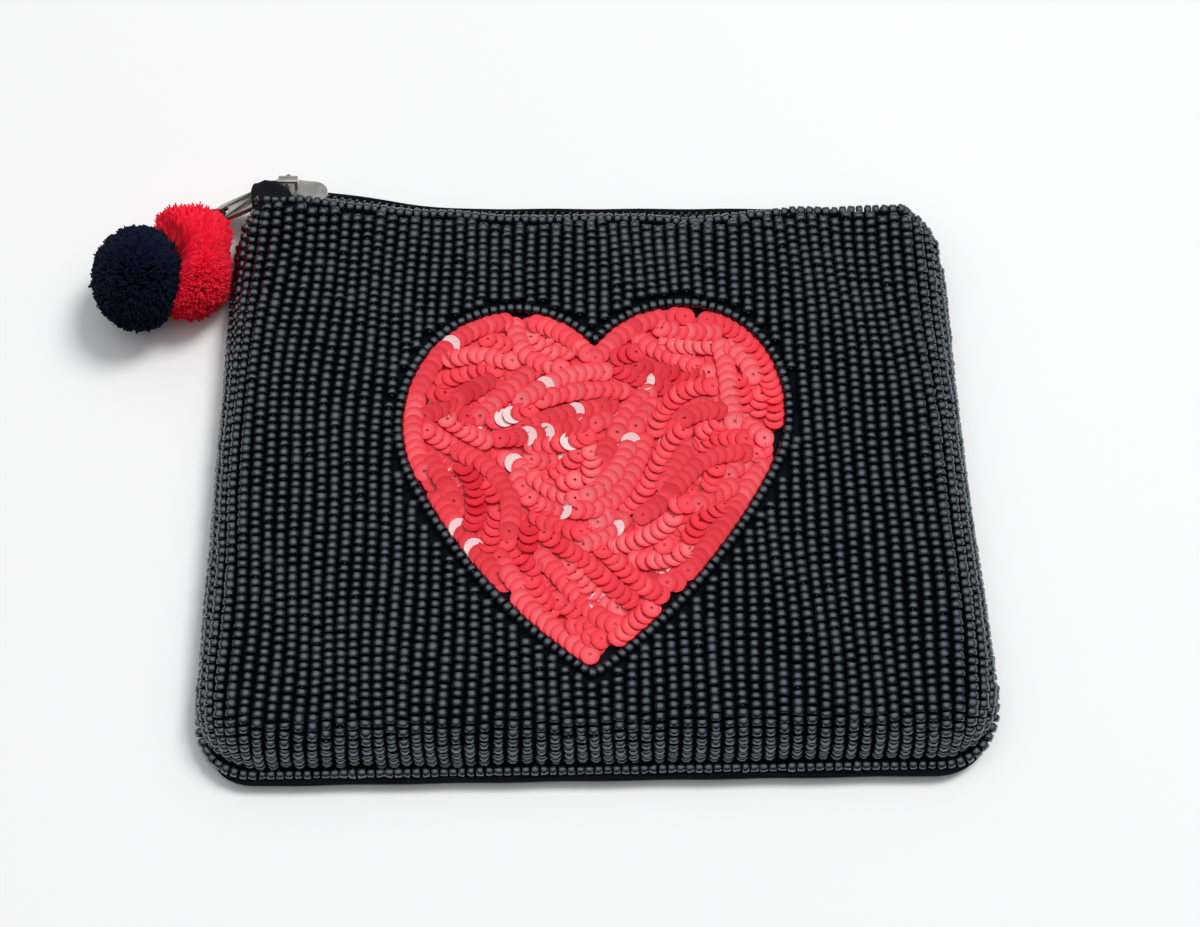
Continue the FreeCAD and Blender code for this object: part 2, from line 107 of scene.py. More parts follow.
def copyOnto(template, name, places, tints, material):
    # every copy of the template at its own place, in one mesh
    corner = np.array([v.co for v in template.data.vertices], float)
    faces = [list(p.vertices) for p in template.data.polygons]
    loops = np.array([i for f in faces for i in f])
    sizes = np.array([len(f) for f in faces])
    starts = np.concatenate(([0], np.cumsum(sizes)[:-1]))
    places = np.asarray(places, float)
    count = len(places)
    step = np.arange(count)[:, None]
    moved = np.einsum("nij,mj->nmi", places[:, :3, :3], corner) + places[:, None, :3, 3]
    corners = loops[None] + step * len(corner)
    firsts = starts[None] + step * len(loops)
    data = bpy.data.meshes.new(name)
    data.vertices.add(count * len(corner))
    data.vertices.foreach_set("co", moved.reshape(-1).astype(np.float32))
    data.loops.add(count * len(loops))
    data.loops.foreach_set("vertex_index", corners.reshape(-1).astype(np.int32))
    data.polygons.add(count * len(faces))
    data.polygons.foreach_set("loop_start", firsts.reshape(-1).astype(np.int32))
    data.update(calc_edges=True)
    data.validate()
    piece = bpy.data.objects.new(name, data)
    scene.collection.objects.link(piece)
    smoothAll(piece)
    setTint(piece, np.repeat(np.asarray(tints, float), len(corner)))
    dress(piece, material)
    return piece


def placeAt(spot, side, along, out):
    # a 4 x 4 place from three axes and a point, in metres
    grid = np.eye(4)
    for column, axis in enumerate((side, along, out, spot)):
        grid[:3, column] = axis
    return grid


def unit(v):
    v = np.asarray(v, float)
    return v / (np.linalg.norm(v, axis=-1, keepdims=True) + 1e-12)


def dropTemplate(template):
    bpy.data.objects.remove(template)


def smoothAll(piece):
    piece.data.polygons.foreach_set("use_smooth", [True] * len(piece.data.polygons))


def editAll(piece):
    pick(piece)
    bpy.ops.object.mode_set(mode="EDIT")
    bpy.ops.mesh.select_all(action="SELECT")


def turnFacesOut(piece):
    editAll(piece)
    bpy.ops.mesh.normals_make_consistent(inside=False)
    bpy.ops.object.mode_set(mode="OBJECT")


def addWall(piece, thick, offset=0):
    wall = piece.modifiers.new("wall", "SOLIDIFY")
    wall.thickness = thick * mm
    wall.offset = offset


def addBevel(piece, width, segments, angle=30):
    bevel = piece.modifiers.new("bevel", "BEVEL")
    bevel.width = width * mm
    bevel.segments = segments
    bevel.limit_method = "ANGLE"
    bevel.angle_limit = math.radians(angle)


def strand(name, path, radius):
    # a round wire along a path given in millimetres, as a mesh
    data = bpy.data.curves.new(name, "CURVE")
    data.dimensions = "3D"
    data.bevel_depth = radius * mm
    data.bevel_resolution = 1
    data.use_fill_caps = True
    spline = data.splines.new("POLY")
    spline.points.add(len(path) - 1)
    for k, p in enumerate(path):
        spline.points[k].co = (*(p * mm), 1)
    curve = bpy.data.objects.new(name, data)
    scene.collection.objects.link(curve)
    pick(curve)
    bpy.ops.object.convert(target="MESH")
    return bpy.context.object


def settle(piece, body, node):
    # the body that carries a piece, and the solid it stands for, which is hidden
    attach(piece, body)
    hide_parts(node)


# materials

def addNode(tree, kind, **values):
    node = tree.nodes.new("ShaderNode" + kind)
    setSockets(node, **values)
    return node


def setSockets(node, **values):
    for key, value in values.items():
        node.inputs[key.replace("_", " ")].default_value = value


def newMaterial(name):
    material = bpy.data.materials.new(name)
    material.use_nodes = True
    tree = material.node_tree
    where = addNode(tree, "TexCoord").outputs["Object"]
    return material, tree, tree.nodes["Principled BSDF"], where


def colourFrom(tree, source, stops, target):
    # a colour ramp between a value and a colour socket
    node = addNode(tree, "ValToRGB")
    while len(node.color_ramp.elements) < len(stops):
        node.color_ramp.elements.new(0.5)
    for element, (place, colour) in zip(node.color_ramp.elements, stops):
        element.position = place
        element.color = (*colour, 1)
    tree.links.new(source, node.inputs["Fac"])
    tree.links.new(node.outputs["Color"], target)


def mapped(tree, where, **values):
    node = addNode(tree, "Mapping", **values)
    tree.links.new(where, node.inputs["Vector"])
    return node.outputs["Vector"]


def noise(tree, where, scale, detail=3):
    node = addNode(tree, "TexNoise", Scale=scale, Detail=detail)
    tree.links.new(where, node.inputs["Vector"])
    return node.outputs["Fac"]


def combine(tree, operation, first, second):
    node = addNode(tree, "Math")
    node.operation = operation
    tree.links.new(first, node.inputs[0])
    tree.links.new(second, node.inputs[1])
    return node.outputs["Value"]


def roughFrom(tree, shader, source, low, high):
    spread = addNode(tree, "MapRange", To_Min=low, To_Max=high)
    tree.links.new(source, spread.inputs["Value"])
    tree.links.new(spread.outputs["Result"], shader.inputs["Roughness"])


def bumpFrom(tree, shader, source, strength, depth):
    node = addNode(tree, "Bump", Strength=strength, Distance=depth)
    tree.links.new(source, node.inputs["Height"])
    tree.links.new(node.outputs["Normal"], shader.inputs["Normal"])


def tintedMaterial(name, stops, rough, grain, bump, **sockets):
    # colour from the piece's own tint values, with fine grain in roughness and bump
    material, tree, shader, where = newMaterial(name)
    tint = addNode(tree, "Attribute")
    tint.attribute_name = "tint"
    colourFrom(tree, tint.outputs["Fac"], stops, shader.inputs["Base Color"])
    speck = noise(tree, where, grain)
    roughFrom(tree, shader, speck, *rough)
    bumpFrom(tree, shader, speck, *bump)
    setSockets(shader, **sockets)
    return material


def clothMaterial(name, dark, light, thread, sheen, turn=0):
    # plain weave: two crossed rows of threads, with slow changes of colour
    material, tree, shader, where = newMaterial(name)
    laid = mapped(tree, where, Rotation=(0, 0, math.radians(turn)))
    threads = []
    for direction in ("X", "Y"):
        wave = addNode(tree, "TexWave", Scale=0.314 / thread, Distortion=0.6, Detail=1.0, Detail_Scale=2.0)
        wave.bands_direction = direction
        tree.links.new(laid, wave.inputs["Vector"])
        threads.append(wave.outputs["Fac"])
    cross = combine(tree, "MULTIPLY", *threads)
    patch = noise(tree, where, 90, 4)
    both = combine(tree, "ADD", cross, patch)
    colourFrom(tree, both, [(0.35, dark), (1.0, light)], shader.inputs["Base Color"])
    roughFrom(tree, shader, patch, 0.7, 0.95)
    bumpFrom(tree, shader, cross, 0.45, 0.00012)
    setSockets(shader, Specular_IOR_Level=0.12, Sheen_Weight=sheen, Sheen_Roughness=0.5)
    return material


def metalMaterial(name, dark, light, rough=(0.14, 0.34)):
    # bright plated metal with fine brushing and a few dull spots
    material, tree, shader, where = newMaterial(name)
    setSockets(shader, Metallic=1.0)
    brush = noise(tree, mapped(tree, where, Scale=(1, 9, 9)), 900, 4)
    spots = noise(tree, where, 420, 5)
    colourFrom(tree, spots, [(0.3, dark), (0.62, light)], shader.inputs["Base Color"])
    roughFrom(tree, shader, spots, *rough)
    bumpFrom(tree, shader, brush, 0.08, 0.00004)
    return material


glassBlack = tintedMaterial(
    "black_bead_glass",
    [
        (0.0, (0.0008, 0.0015, 0.0042)), (0.6, (0.0015, 0.0026, 0.0066)),
        (0.9, (0.003, 0.0048, 0.0095)), (1.0, (0.01, 0.013, 0.02)),
    ],
    (0.1, 0.42), 620, (0.1, 0.00012), IOR=2.4, Specular_Tint=(0.8, 0.94, 1.0, 1.0),
)
# the red film's own tones, deep red to coral; the pale pink top stop is a painted glint, a painted reflection
# given to a few sequins
sequinRed = tintedMaterial(
    "red_sequin_film",
    [
        (0.0, (0.68, 0.001, 0.016)), (0.45, (1.0, 0.05, 0.078)),
        (0.86, (1.0, 0.17, 0.195)), (1.0, (0.98, 0.72, 0.71)),
    ],
    (0.22, 0.4), 1500, (0.05, 0.00005),
    Coat_Weight=0.12, Coat_Roughness=0.12, Specular_IOR_Level=0.4,
)
yarnRed = tintedMaterial(
    "red_yarn",
    [(0.0, (0.82, 0.004, 0.024)), (0.5, (1.0, 0.011, 0.042)), (1.0, (1.0, 0.045, 0.08))],
    (0.75, 0.95), 5200, (0.3, 0.00008), Sheen_Weight=0.4, Sheen_Tint=(1.0, 0.16, 0.22, 1.0),
    Sheen_Roughness=0.45, Specular_IOR_Level=0.15,
)
yarnBlack = tintedMaterial(
    "black_yarn",
    [(0.0, (0.0012, 0.0036, 0.014)), (0.5, (0.0026, 0.0075, 0.025)), (1.0, (0.006, 0.014, 0.038))],
    (0.8, 0.97), 5200, (0.3, 0.00008),
    Sheen_Weight=0.03, Sheen_Roughness=0.5, Specular_IOR_Level=0.15,
)
clothBlack = clothMaterial(
    "black_pouch_cloth", (0.0012, 0.0018, 0.004), (0.006, 0.008, 0.013), 0.5 * mm, sheen=0.04,
)
liningBlack = clothMaterial(
    "black_lining_cloth", (0.004, 0.004, 0.006), (0.018, 0.018, 0.022), 0.3 * mm, sheen=0.15,
)
tapeBlack = clothMaterial(
    "black_zip_tape", (0.002, 0.002, 0.003), (0.011, 0.011, 0.014), 0.42 * mm, turn=45, sheen=0.06,
)
# the fold is the zip tape's black cloth with lighter colours and more sheen: its own black plus a painted
# highlight on its ribs
foldBlack = clothMaterial(
    "black_ribbed_fold", (0.004, 0.0045, 0.007), (0.022, 0.024, 0.03), 0.42 * mm, turn=45, sheen=0.2,
)
nickel = metalMaterial("nickel_plate", (0.72, 0.7, 0.66), (0.93, 0.91, 0.88), (0.32, 0.5))
dullNickel = metalMaterial("dull_nickel_plate", (0.3, 0.27, 0.25), (0.52, 0.48, 0.45))
coilBlack = tintedMaterial(
    "black_zip_coil",
    [(0.0, (0.003, 0.003, 0.004)), (1.0, (0.01, 0.01, 0.012))],
    (0.28, 0.45), 3000, (0.08, 0.00004), Coat_Weight=0.1,
)
cordBlack = tintedMaterial(
    "black_tie_cord",
    [(0.0, (0.004, 0.004, 0.006)), (1.0, (0.02, 0.02, 0.025))],
    (0.7, 0.92), 6000, (0.3, 0.00006), Sheen_Weight=0.2,
)
print("materials ready")

# pouch form: the outline and the rolled front, in millimetres as in the part

pouch = {
    "corners": [(-61.1, 53.2), (58.7, 53.2), (63.1, -51.2), (-63.1, -53.2)],
    "frontInsets": (5.009, 0, 3.6, 0),
    "frontCorner": 9.0,
    "roll": 5.8,
    "clothTop": 8.846,
    "seam": 2.4,
    "hemY": 45.19,
    "swell": 0.16,
    "zipMiddle": (49.384, 5.093),
    "zipTilt": 22.0,
}
tilt = math.radians(pouch["zipTilt"])
zipAcross = np.array([0, math.cos(tilt), -math.sin(tilt)])
zipOut = np.array([0, math.sin(tilt), math.cos(tilt)])


# the soft mouth sags between the slider's two ends of travel, and the hem curves with it
mouthSag = {
    "back": 2.6, "down": 2.2, "from": -54.0, "full": -22.0, "until": 30.0, "to": 56.0,
    "left": 0.85, "rim": 3.7, "rimEnd": 2.4,
    "twistAt": (-50.0, -44.0, -38.0, -30.0, -22.0, -14.0, -6.0, 14.0, 24.0, 36.0, 56.0),
    "twist": (0.0, 34.0, 24.0, 15.0, 12.0, 17.0, 23.0, 24.0, 22.0, 17.0, 14.5),
}
hemCurve = {
    "at": (-60.0, -52.0, -45.5, -34.3, -23.4, -14.5, -6.6, 7.0, 13.7, 22.6, 27.5, 33.7, 38.0, 45.0, 54.0),
    "shift": (2.3, 2.0, 1.05, 0.05, -0.66, -1.4, -1.05, -1.15, -1.5, -1.08, -0.53, -0.15, 0.12, 0.3, 0.45),
    "startsAt": 24.0, "endsAt": 46.3, "fade": 3.0, "lift": 0.45, "liftShare": 0.45,
}
# the hem turns down at both ends: the middle and radius of each turn, on the flat pattern
hemTurns = {"left": (-58.6, 40.3, 5.0), "right": (54.1, 36.5, 8.8)}
lowerRight = {"out": 1.4, "half": 62, "most": 1.1, "top": 8, "tall": 50}


def ease(t):
    t = np.clip(t, 0, 1)
    return t * t * (3 - 2 * t)


def sagShare(x):
    first = ease((x - mouthSag["from"]) / (mouthSag["full"] - mouthSag["from"]))
    last = ease((mouthSag["to"] - x) / (mouthSag["to"] - mouthSag["until"]))
    return first * (mouthSag["left"] + (1 - mouthSag["left"]) * last)


def hemShift(x):
    return np.interp(x, hemCurve["at"], hemCurve["shift"])


def pastTurn(points):
    # how far points lie outside the hem's turned ends
    points = np.asarray(points, float)
    past = np.full(len(points), -9.0)
    for side, end in ((-1, "left"), (1, "right")):
        x, y, radius = hemTurns[end]
        dx = (points[:, 0] - x) * side
        dy = points[:, 1] - y
        here = (dx > 0) & (dy > 0)
        past[here] = np.hypot(dx, dy)[here] - radius
    return past


def followHem(points):
    # moves points near the mouth with the curve of the hem
    points = np.array(points, float)
    run = pouch["hemY"] - hemCurve["startsAt"]
    share = np.clip((points[:, 1] - hemCurve["startsAt"]) / run, 0, 1) ** 2
    share = share * (1 - ease((points[:, 1] - hemCurve["endsAt"]) / hemCurve["fade"]))
    shift = hemShift(points[:, 0])
    points[:, 1] += shift * share
    points[:, 2] += (hemCurve["lift"] + hemCurve["liftShare"] * shift) * share ** 2
    return points


def belly(points):
    # the lower right side stands out a little
    points = np.array(points, float)
    share = np.clip(points[:, 0] / lowerRight["half"], 0, lowerRight["most"]) ** 2
    points[:, 0] += lowerRight["out"] * share * ease((lowerRight["top"] - points[:, 1]) / lowerRight["tall"])
    return points


def zipPoint(along, across, out):
    # a point of the sagging zip, from its place along, across and above the tapes
    share = float(sagShare(along))
    a = tilt + math.radians(float(np.interp(along, mouthSag["twistAt"], mouthSag["twist"])))
    middleY, middleZ = pouch["zipMiddle"]
    y = middleY - mouthSag["back"] * share + across * math.cos(a) + out * math.sin(a)
    z = middleZ - mouthSag["down"] * share - across * math.sin(a) + out * math.cos(a)
    return np.array([along, y, z])


def insetCorners(insets):
    lines = []
    corners = pouch["corners"]
    for i, inset in enumerate(insets):
        a, b = np.array(corners[i]), np.array(corners[(i + 1) % 4])
        d = unit(b - a)
        lines.append((a + np.array([d[1], -d[0]]) * inset, d))
    found = []
    for i in range(4):
        (p, d), (q, e) = lines[i - 1], lines[i]
        cross = d[0] * e[1] - d[1] * e[0]
        reach = ((q[0] - p[0]) * e[1] - (q[1] - p[1]) * e[0]) / cross
        found.append(p + d * reach)
    return np.array(found)


def outlineRing(insets, radius, perSide=34, perCorner=9):
    # points and outward directions round the rounded outline
    sharp = insetCorners([i + radius for i in insets])
    points, outs = [], []
    for i in range(4):
        here, after, before = sharp[i], sharp[(i + 1) % 4], sharp[i - 1]
        nBefore = unit([-(here - before)[1], (here - before)[0]])
        nAfter = unit([-(after - here)[1], (after - here)[0]])
        a0 = math.atan2(nBefore[1], nBefore[0])
        a1 = math.atan2(nAfter[1], nAfter[0])
        while a1 > a0:
            a1 -= 2 * math.pi
        for k in range(perCorner):
            a = a0 + (a1 - a0) * k / (perCorner - 1)
            g = np.array([math.cos(a), math.sin(a)])
            points.append(here + g * radius)
            outs.append(g)
        for k in range(1, perSide):
            points.append(here + (after - here) * k / perSide + nAfter * radius)
            outs.append(nAfter)
    return np.array(points), np.array(outs)


def swell(x, y):
    # the slow unevenness of hand beaded cloth
    ripple = np.sin(x / 9.1 + 0.7) * np.sin(y / 8.3 + 1.9)
    slope = np.sin(x / 17 - y / 14 + 2.2)
    return pouch["swell"] * (ripple + 0.7 * slope)


frontSharp = insetCorners([i + pouch["frontCorner"] for i in pouch["frontInsets"]])


def wrapFront(points, lift):
    # flat pattern points laid over the rolled front, lift above the cloth: places and normals
    points = np.asarray(points, float)
    best = np.full(len(points), 1e9)
    near = np.zeros_like(points)
    inside = np.full(len(points), -1e9)
    for i in range(4):
        a, b = frontSharp[i], frontSharp[(i + 1) % 4]
        d = b - a
        t = np.clip(((points - a) @ d) / (d @ d), 0, 1)
        q = a + t[:, None] * d
        gap = np.linalg.norm(points - q, axis=1)
        closer = gap < best
        best[closer] = gap[closer]
        near[closer] = q[closer]
        n = unit([-d[1], d[0]])
        inside = np.maximum(inside, (points - a) @ n)
    cornerRound = pouch["frontCorner"] - pouch["roll"]
    past = np.where(inside > 0, best - cornerRound, -1)
    out = unit(points - near)
    radius = pouch["roll"] + lift
    angle = np.maximum(past, 0) / radius
    flat = near + out * cornerRound
    rolledPlace = flat + out * (radius * np.sin(angle))[:, None]
    rollMiddle = pouch["clothTop"] - pouch["roll"]
    onRoll = past > 0
    place = np.where(onRoll[:, None], rolledPlace, points)
    height = np.where(onRoll, rollMiddle + radius * np.cos(angle), pouch["clothTop"] + lift)
    height = height + swell(place[:, 0], place[:, 1]) * np.cos(np.minimum(angle, 1.57))
    normal = np.where(
        onRoll[:, None],
        np.column_stack((out * np.sin(angle)[:, None], np.cos(angle))),
        np.array([[0.0, 0.0, 1.0]]),
    )
    return belly(followHem(np.column_stack((place, height)))), normal, angle


# heart outline, three arcs on each side as in the part, a little uneven as sewn by hand

heart = {
    "halfWidth": 31.6, "lobeTop": 26.6, "depth": 62.4, "notch": 7.2, "lean": 0.04,
    "lobe": (0.45, 0.0), "shoulder": (0.9, 0.125), "wide": (1.0, 0.27),
    "flankTop": (0.935, 0.455), "flank": (0.62, 0.705), "perArc": 40,
}


def arcPoints(a, b, c, count):
    a, b, c = (np.array(p, float) for p in (a, b, c))
    d = 2 * (a[0] * (b[1] - c[1]) + b[0] * (c[1] - a[1]) + c[0] * (a[1] - b[1]))
    ux = ((a @ a) * (b[1] - c[1]) + (b @ b) * (c[1] - a[1]) + (c @ c) * (a[1] - b[1])) / d
    uy = ((a @ a) * (c[0] - b[0]) + (b @ b) * (a[0] - c[0]) + (c @ c) * (b[0] - a[0])) / d
    m = np.array([ux, uy])
    r = np.linalg.norm(a - m)
    turns = [math.atan2(*(p - m)[::-1]) for p in (a, b, c)]
    while turns[1] > turns[0]:
        turns[1] -= 2 * math.pi
    while turns[2] > turns[1]:
        turns[2] -= 2 * math.pi
    return [m + r * np.array([math.cos(t), math.sin(t)]) for t in np.linspace(turns[0], turns[2], count)]


def heartRing():
    def point(name):
        across, down = heart[name]
        return (heart["halfWidth"] * across, heart["lobeTop"] - heart["depth"] * down)

    notch = (0, heart["lobeTop"] - heart["notch"])
    tip = (0, heart["lobeTop"] - heart["depth"])
    right = []
    for a, b, c in (
        (notch, point("lobe"), point("shoulder")),
        (point("shoulder"), point("wide"), point("flankTop")),
        (point("flankTop"), point("flank"), tip),
    ):
        right += arcPoints(a, b, c, heart["perArc"])[:-1]
    right.append(np.array(tip, float))
    left = [np.array([-p[0], p[1]]) for p in right[::-1]][1:-1]
    ring = np.array(right + left)
    ring[:, 1] += heart["lean"] * ring[:, 0]
    return ring


heartLine = heartRing()


def heartReach(points):
    # distance outside the heart's outline, less than nothing inside it
    points = np.asarray(points, float)
    a = heartLine
    b = np.roll(heartLine, -1, axis=0)
    d = b - a
    t = np.einsum("nmk,mk->nm", points[:, None] - a[None], d) / np.einsum("mk,mk->m", d, d)
    t = np.clip(t, 0, 1)
    gap = np.linalg.norm(points[:, None] - (a + t[:, :, None] * d), axis=2).min(axis=1)
    x = points[:, 0][:, None]
    y = points[:, 1][:, None]
    crossing = (a[:, 1] > y) != (b[:, 1] > y)
    with np.errstate(divide="ignore", invalid="ignore"):
        at = (b[:, 0] - a[:, 0]) * (y - a[:, 1]) / (b[:, 1] - a[:, 1]) + a[:, 0]
    inside = (crossing & (x < at)).sum(axis=1) % 2 == 1
    return np.where(inside, -gap, gap)


def heartSides():
    # outward directions along the outline
    tangent = unit(np.roll(heartLine, -1, axis=0) - np.roll(heartLine, 1, axis=0))
    return np.column_stack((-tangent[:, 1], tangent[:, 0]))


heartOutward = heartSides()


def even(points, step, closed=False):
    # points spaced evenly along a line
    points = np.asarray(points, float)
    if closed:
        points = np.vstack((points, points[:1]))
    runs = np.linalg.norm(np.diff(points, axis=0), axis=1)
    lengths = np.concatenate(([0], np.cumsum(runs)))
    count = max(2, int(round(lengths[-1] / step)))
    where = np.linspace(0, lengths[-1], count + 1)
    where = where[:-1] if closed else where
    return np.column_stack([np.interp(where, lengths, points[:, k]) for k in range(points.shape[1])])


print("forms ready")

# seed bead: one short barrel with a hole, copied over the front

seedBead = {
    "acrossRadius": 0.98, "hole": 0.22, "length": 1.36, "flatten": 0.94, "wall": 1.0, "wallShare": 0.4,
    "around": 10, "section": 6, "tint": 0.3, "tintSpread": 0.24, "oddShare": 0.03, "oddTint": 0.95,
}


def makeBead():
    # a six sided section with a flat outer wall, spun round the bead's hole along Y
    clearSelection()
    sides = seedBead["section"]
    thick = (seedBead["acrossRadius"] - seedBead["hole"]) / 2
    middle = (seedBead["hole"] + thick) * mm
    bpy.ops.mesh.primitive_circle_add(vertices=sides, radius=thick * mm, location=(middle, 0, 0))
    bead = bpy.context.object
    bpy.ops.object.transform_apply(location=True, rotation=False, scale=False)
    editAll(bead)
    stretch = (1 / math.cos(math.pi / sides), seedBead["length"] / (2 * thick), 1)
    bpy.ops.transform.resize(value=stretch, center_override=(middle, 0, 0))
    # the outer wall runs straight over most of the bead's length
    for v in bmesh.from_edit_mesh(bead.data).verts:
        if abs(v.co.y) < seedBead["length"] * seedBead["wallShare"] * mm:
            v.co.y = math.copysign(seedBead["wall"] / 2 * mm, v.co.y)
    bpy.ops.mesh.spin(steps=seedBead["around"], angle=2 * math.pi, center=(0, 0, 0), axis=(0, 1, 0))
    bpy.ops.mesh.select_all(action="SELECT")
    bpy.ops.mesh.remove_doubles(threshold=0.00001)
    bpy.ops.mesh.normals_make_consistent(inside=False)
    bpy.ops.object.mode_set(mode="OBJECT")
    return bead


bead = makeBead()


def beadPlaces(spots, alongs, outs, spread=0.09, lean=6.5, size=1.0, stretch=1.0):
    # a place and a tint for each bead, none quite like the next
    places, tints = [], []
    for spot, along, out in zip(spots, alongs, outs):
        along = unit(along)
        side = unit(np.cross(along, out))
        out = np.cross(side, along)
        wide = size * (1 + dice.gauss(0, spread * 0.6))
        long = size * stretch * (1 + dice.gauss(0, spread))
        turn = Matrix.Rotation(math.radians(dice.gauss(0, lean)), 3, Vector(out))
        turn = turn @ Matrix.Rotation(math.radians(dice.gauss(0, lean)), 3, Vector(side))
        turn = np.array(turn)
        flat = seedBead["flatten"] * wide
        axes = (turn @ side * wide, turn @ along * long, turn @ out * flat)
        places.append(placeAt(np.asarray(spot) * mm, *axes))
        tint = seedBead["oddTint"]
        if dice.random() > seedBead["oddShare"]:
            tint = min(1.0, abs(dice.gauss(seedBead["tint"], seedBead["tintSpread"])))
        tints.append(tint)
    return np.array(places), np.array(tints)


# bead field: columns of beads from the hem to the bottom edge, split into three pieces

field = {
    "column": 2.13, "row": 1.43, "rowJitter": 0.045, "columns": 34, "top": 44.3, "lowest": -60.0,
    "sideAngle": 78, "bottomAngle": 87, "bottomFrom": -38, "narrowing": 0.055, "lean": -0.7,
    "lift": 0.97, "liftJitter": 0.05, "heartGap": 1.7, "turnGap": 1.5, "wander": 0.45,
    "oddRings": (2.8, 3.3, 3.9), "oddStep": 0.4, "oddSlack": 0.15, "oddRoom": (1.9, 1.36), "oddGap": 0.95,
}


def fieldBeads():
    spots, alongs, outs = [], [], []
    sideLimit = math.radians(field["sideAngle"])
    bottomLimit = math.radians(field["bottomAngle"])
    for i in range(-field["columns"], field["columns"] + 1):
        y = field["top"] - dice.random() * field["row"]
        line = []
        while y > field["lowest"]:
            line.append(y)
            y -= field["row"] * (1 + dice.gauss(0, field["rowJitter"]))
        ys = np.array(line)
        # columns narrow towards the mouth and wander as hand sewn ones do
        spread = 1 - field["narrowing"] * ease((ys - 2) / 46)
        xs = field["lean"] * (ys + 53) / 106 + i * field["column"] * spread
        slow = np.sin(ys / 13 + i * 0.11) * np.sin(i * 0.23 + 1.1)
        xs = xs + field["wander"] * (slow + 0.4 * np.sin(ys / 5.2 + i * 0.47))
        flat = np.column_stack((xs, ys))
        place, normal, angle = wrapFront(flat, field["lift"])
        ahead, _, _ = wrapFront(flat + [0, 0.3], field["lift"])
        limit = np.where(flat[:, 1] < field["bottomFrom"], bottomLimit, sideLimit)
        reach = heartReach(place[:, :2])
        slantX = np.abs(heartReach(place[:, :2] + [0.1, 0]) - reach) / 0.1
        slantY = np.abs(heartReach(place[:, :2] + [0, 0.1]) - reach) / 0.1
        half = seedBead["acrossRadius"] * slantX + seedBead["length"] / 2 * slantY
        clear = (reach > field["heartGap"] + half) & (pastTurn(flat) < -field["turnGap"])
        keep = (angle < limit) & clear
        for p, q, n in zip(place[keep], ahead[keep], normal[keep]):
            spots.append(p + n * dice.gauss(0, field["liftJitter"]))
            alongs.append(q - p)
            outs.append(n)
    # odd beads where a column stops short of the heart
    for reach in field["oddRings"]:
        ring = even(heartLine + heartOutward * reach, field["oddStep"], closed=True)
        ring = ring[np.abs(heartReach(ring) - reach) < field["oddSlack"]]
        place, normal, _ = wrapFront(ring, field["lift"])
        for p, n in zip(place, normal):
            off = (np.array(spots)[:, :2] - p[:2]) / field["oddRoom"]
            if np.min(np.hypot(off[:, 0], off[:, 1])) > field["oddGap"]:
                spots.append(p)
                alongs.append(np.array([dice.gauss(0, 0.1), 1.0, 0.0]))
                outs.append(n)
    return np.array(spots), np.array(alongs), np.array(outs)


spots, alongs, outs = fieldBeads()
print("field beads", len(spots))
fieldPlaces, fieldTints = beadPlaces(spots, alongs, outs)
third = np.digitize(spots[:, 0], [-22, 22])
for number, name in enumerate(("bead_field_left", "bead_field_middle", "bead_field_right")):
    chosen = third == number
    piece = copyOnto(bead, name, fieldPlaces[chosen], fieldTints[chosen], glassBlack)
    settle(piece, "pouch", "bead_field")

# single rows of beads: round the heart, along the hem and along the edges

rows = {
    "heartOut": 1.05, "heartSlack": 0.12, "heartLift": 0.8, "heartSize": 0.94, "step": 1.46, "stretch": 1.04,
    "hemY": 45.49, "hemZ": 9.06, "hemSize": 0.93, "turnLift": 0.3,
    "edgeZ": 3.7, "edgeOut": 0.95, "edgeTop": 45.4, "edgeCorner": 7.6, "edgeSize": 0.98,
    "bottomFrom": 36, "bottomRun": 12, "bottomDown": 0.9, "bottomOut": 1.4,
}


def rowPiece(name, line, out, node, size, closed=False):
    ahead = np.roll(line, -1, axis=0) - np.roll(line, 1, axis=0)
    if not closed:
        ahead[0] = line[1] - line[0]
        ahead[-1] = line[-1] - line[-2]
    outs = np.tile(out, (len(line), 1))
    places, tints = beadPlaces(line, ahead, outs, size=size, stretch=rows["stretch"])
    piece = copyOnto(bead, name, places, tints, glassBlack)
    settle(piece, "pouch", node)


def heartRow():
    line = heartLine + heartOutward * rows["heartOut"]
    keep = np.abs(heartReach(line) - rows["heartOut"]) < rows["heartSlack"]
    line = even(line[keep], rows["step"], closed=True)
    height = pouch["clothTop"] + rows["heartLift"] + swell(line[:, 0], line[:, 1])
    line = np.column_stack((line, height))
    rowPiece("heart_bead_row", line, [0.0, 0.0, 1.0], "heart_bead_outline", rows["heartSize"], closed=True)


def edgeRow():
    # starts and ends where the hem's turned ends come down
    ring, out = outlineRing(pouch["frontInsets"], rows["edgeCorner"], perSide=60)
    line = ring + out * rows["edgeOut"]
    fromTop = np.where(line[:, 0] > 0, np.abs(line[:, 1] - rows["edgeTop"]), 1e9)
    line = np.roll(line, -int(np.argmin(fromTop)), axis=0)
    ends = np.where(line[:, 0] > 0, hemTurns["right"][1], hemTurns["left"][1])
    line = even(line[line[:, 1] < ends], rows["step"])
    count = np.arange(len(line))
    wave = 0.18 * np.sin(count * 0.37) + 0.1 * np.sin(count * 0.91 + 1)
    low = ease((-line[:, 1] - rows["bottomFrom"]) / rows["bottomRun"])
    line[:, 1] -= rows["bottomOut"] * low
    line = belly(np.column_stack((line, rows["edgeZ"] + wave - rows["bottomDown"] * low)))
    rowPiece("edge_bead_row", line, [0.0, 0.0, 1.0], "edge_bead_strand", rows["edgeSize"])


def hemEnd(end, way):
    x, y, radius = hemTurns[end]
    turns = np.radians(np.linspace(4, 88, 24))
    flat = np.column_stack((x + way * radius * np.sin(turns), y + radius * np.cos(turns)))
    return wrapFront(flat, rows["turnLift"])[0]


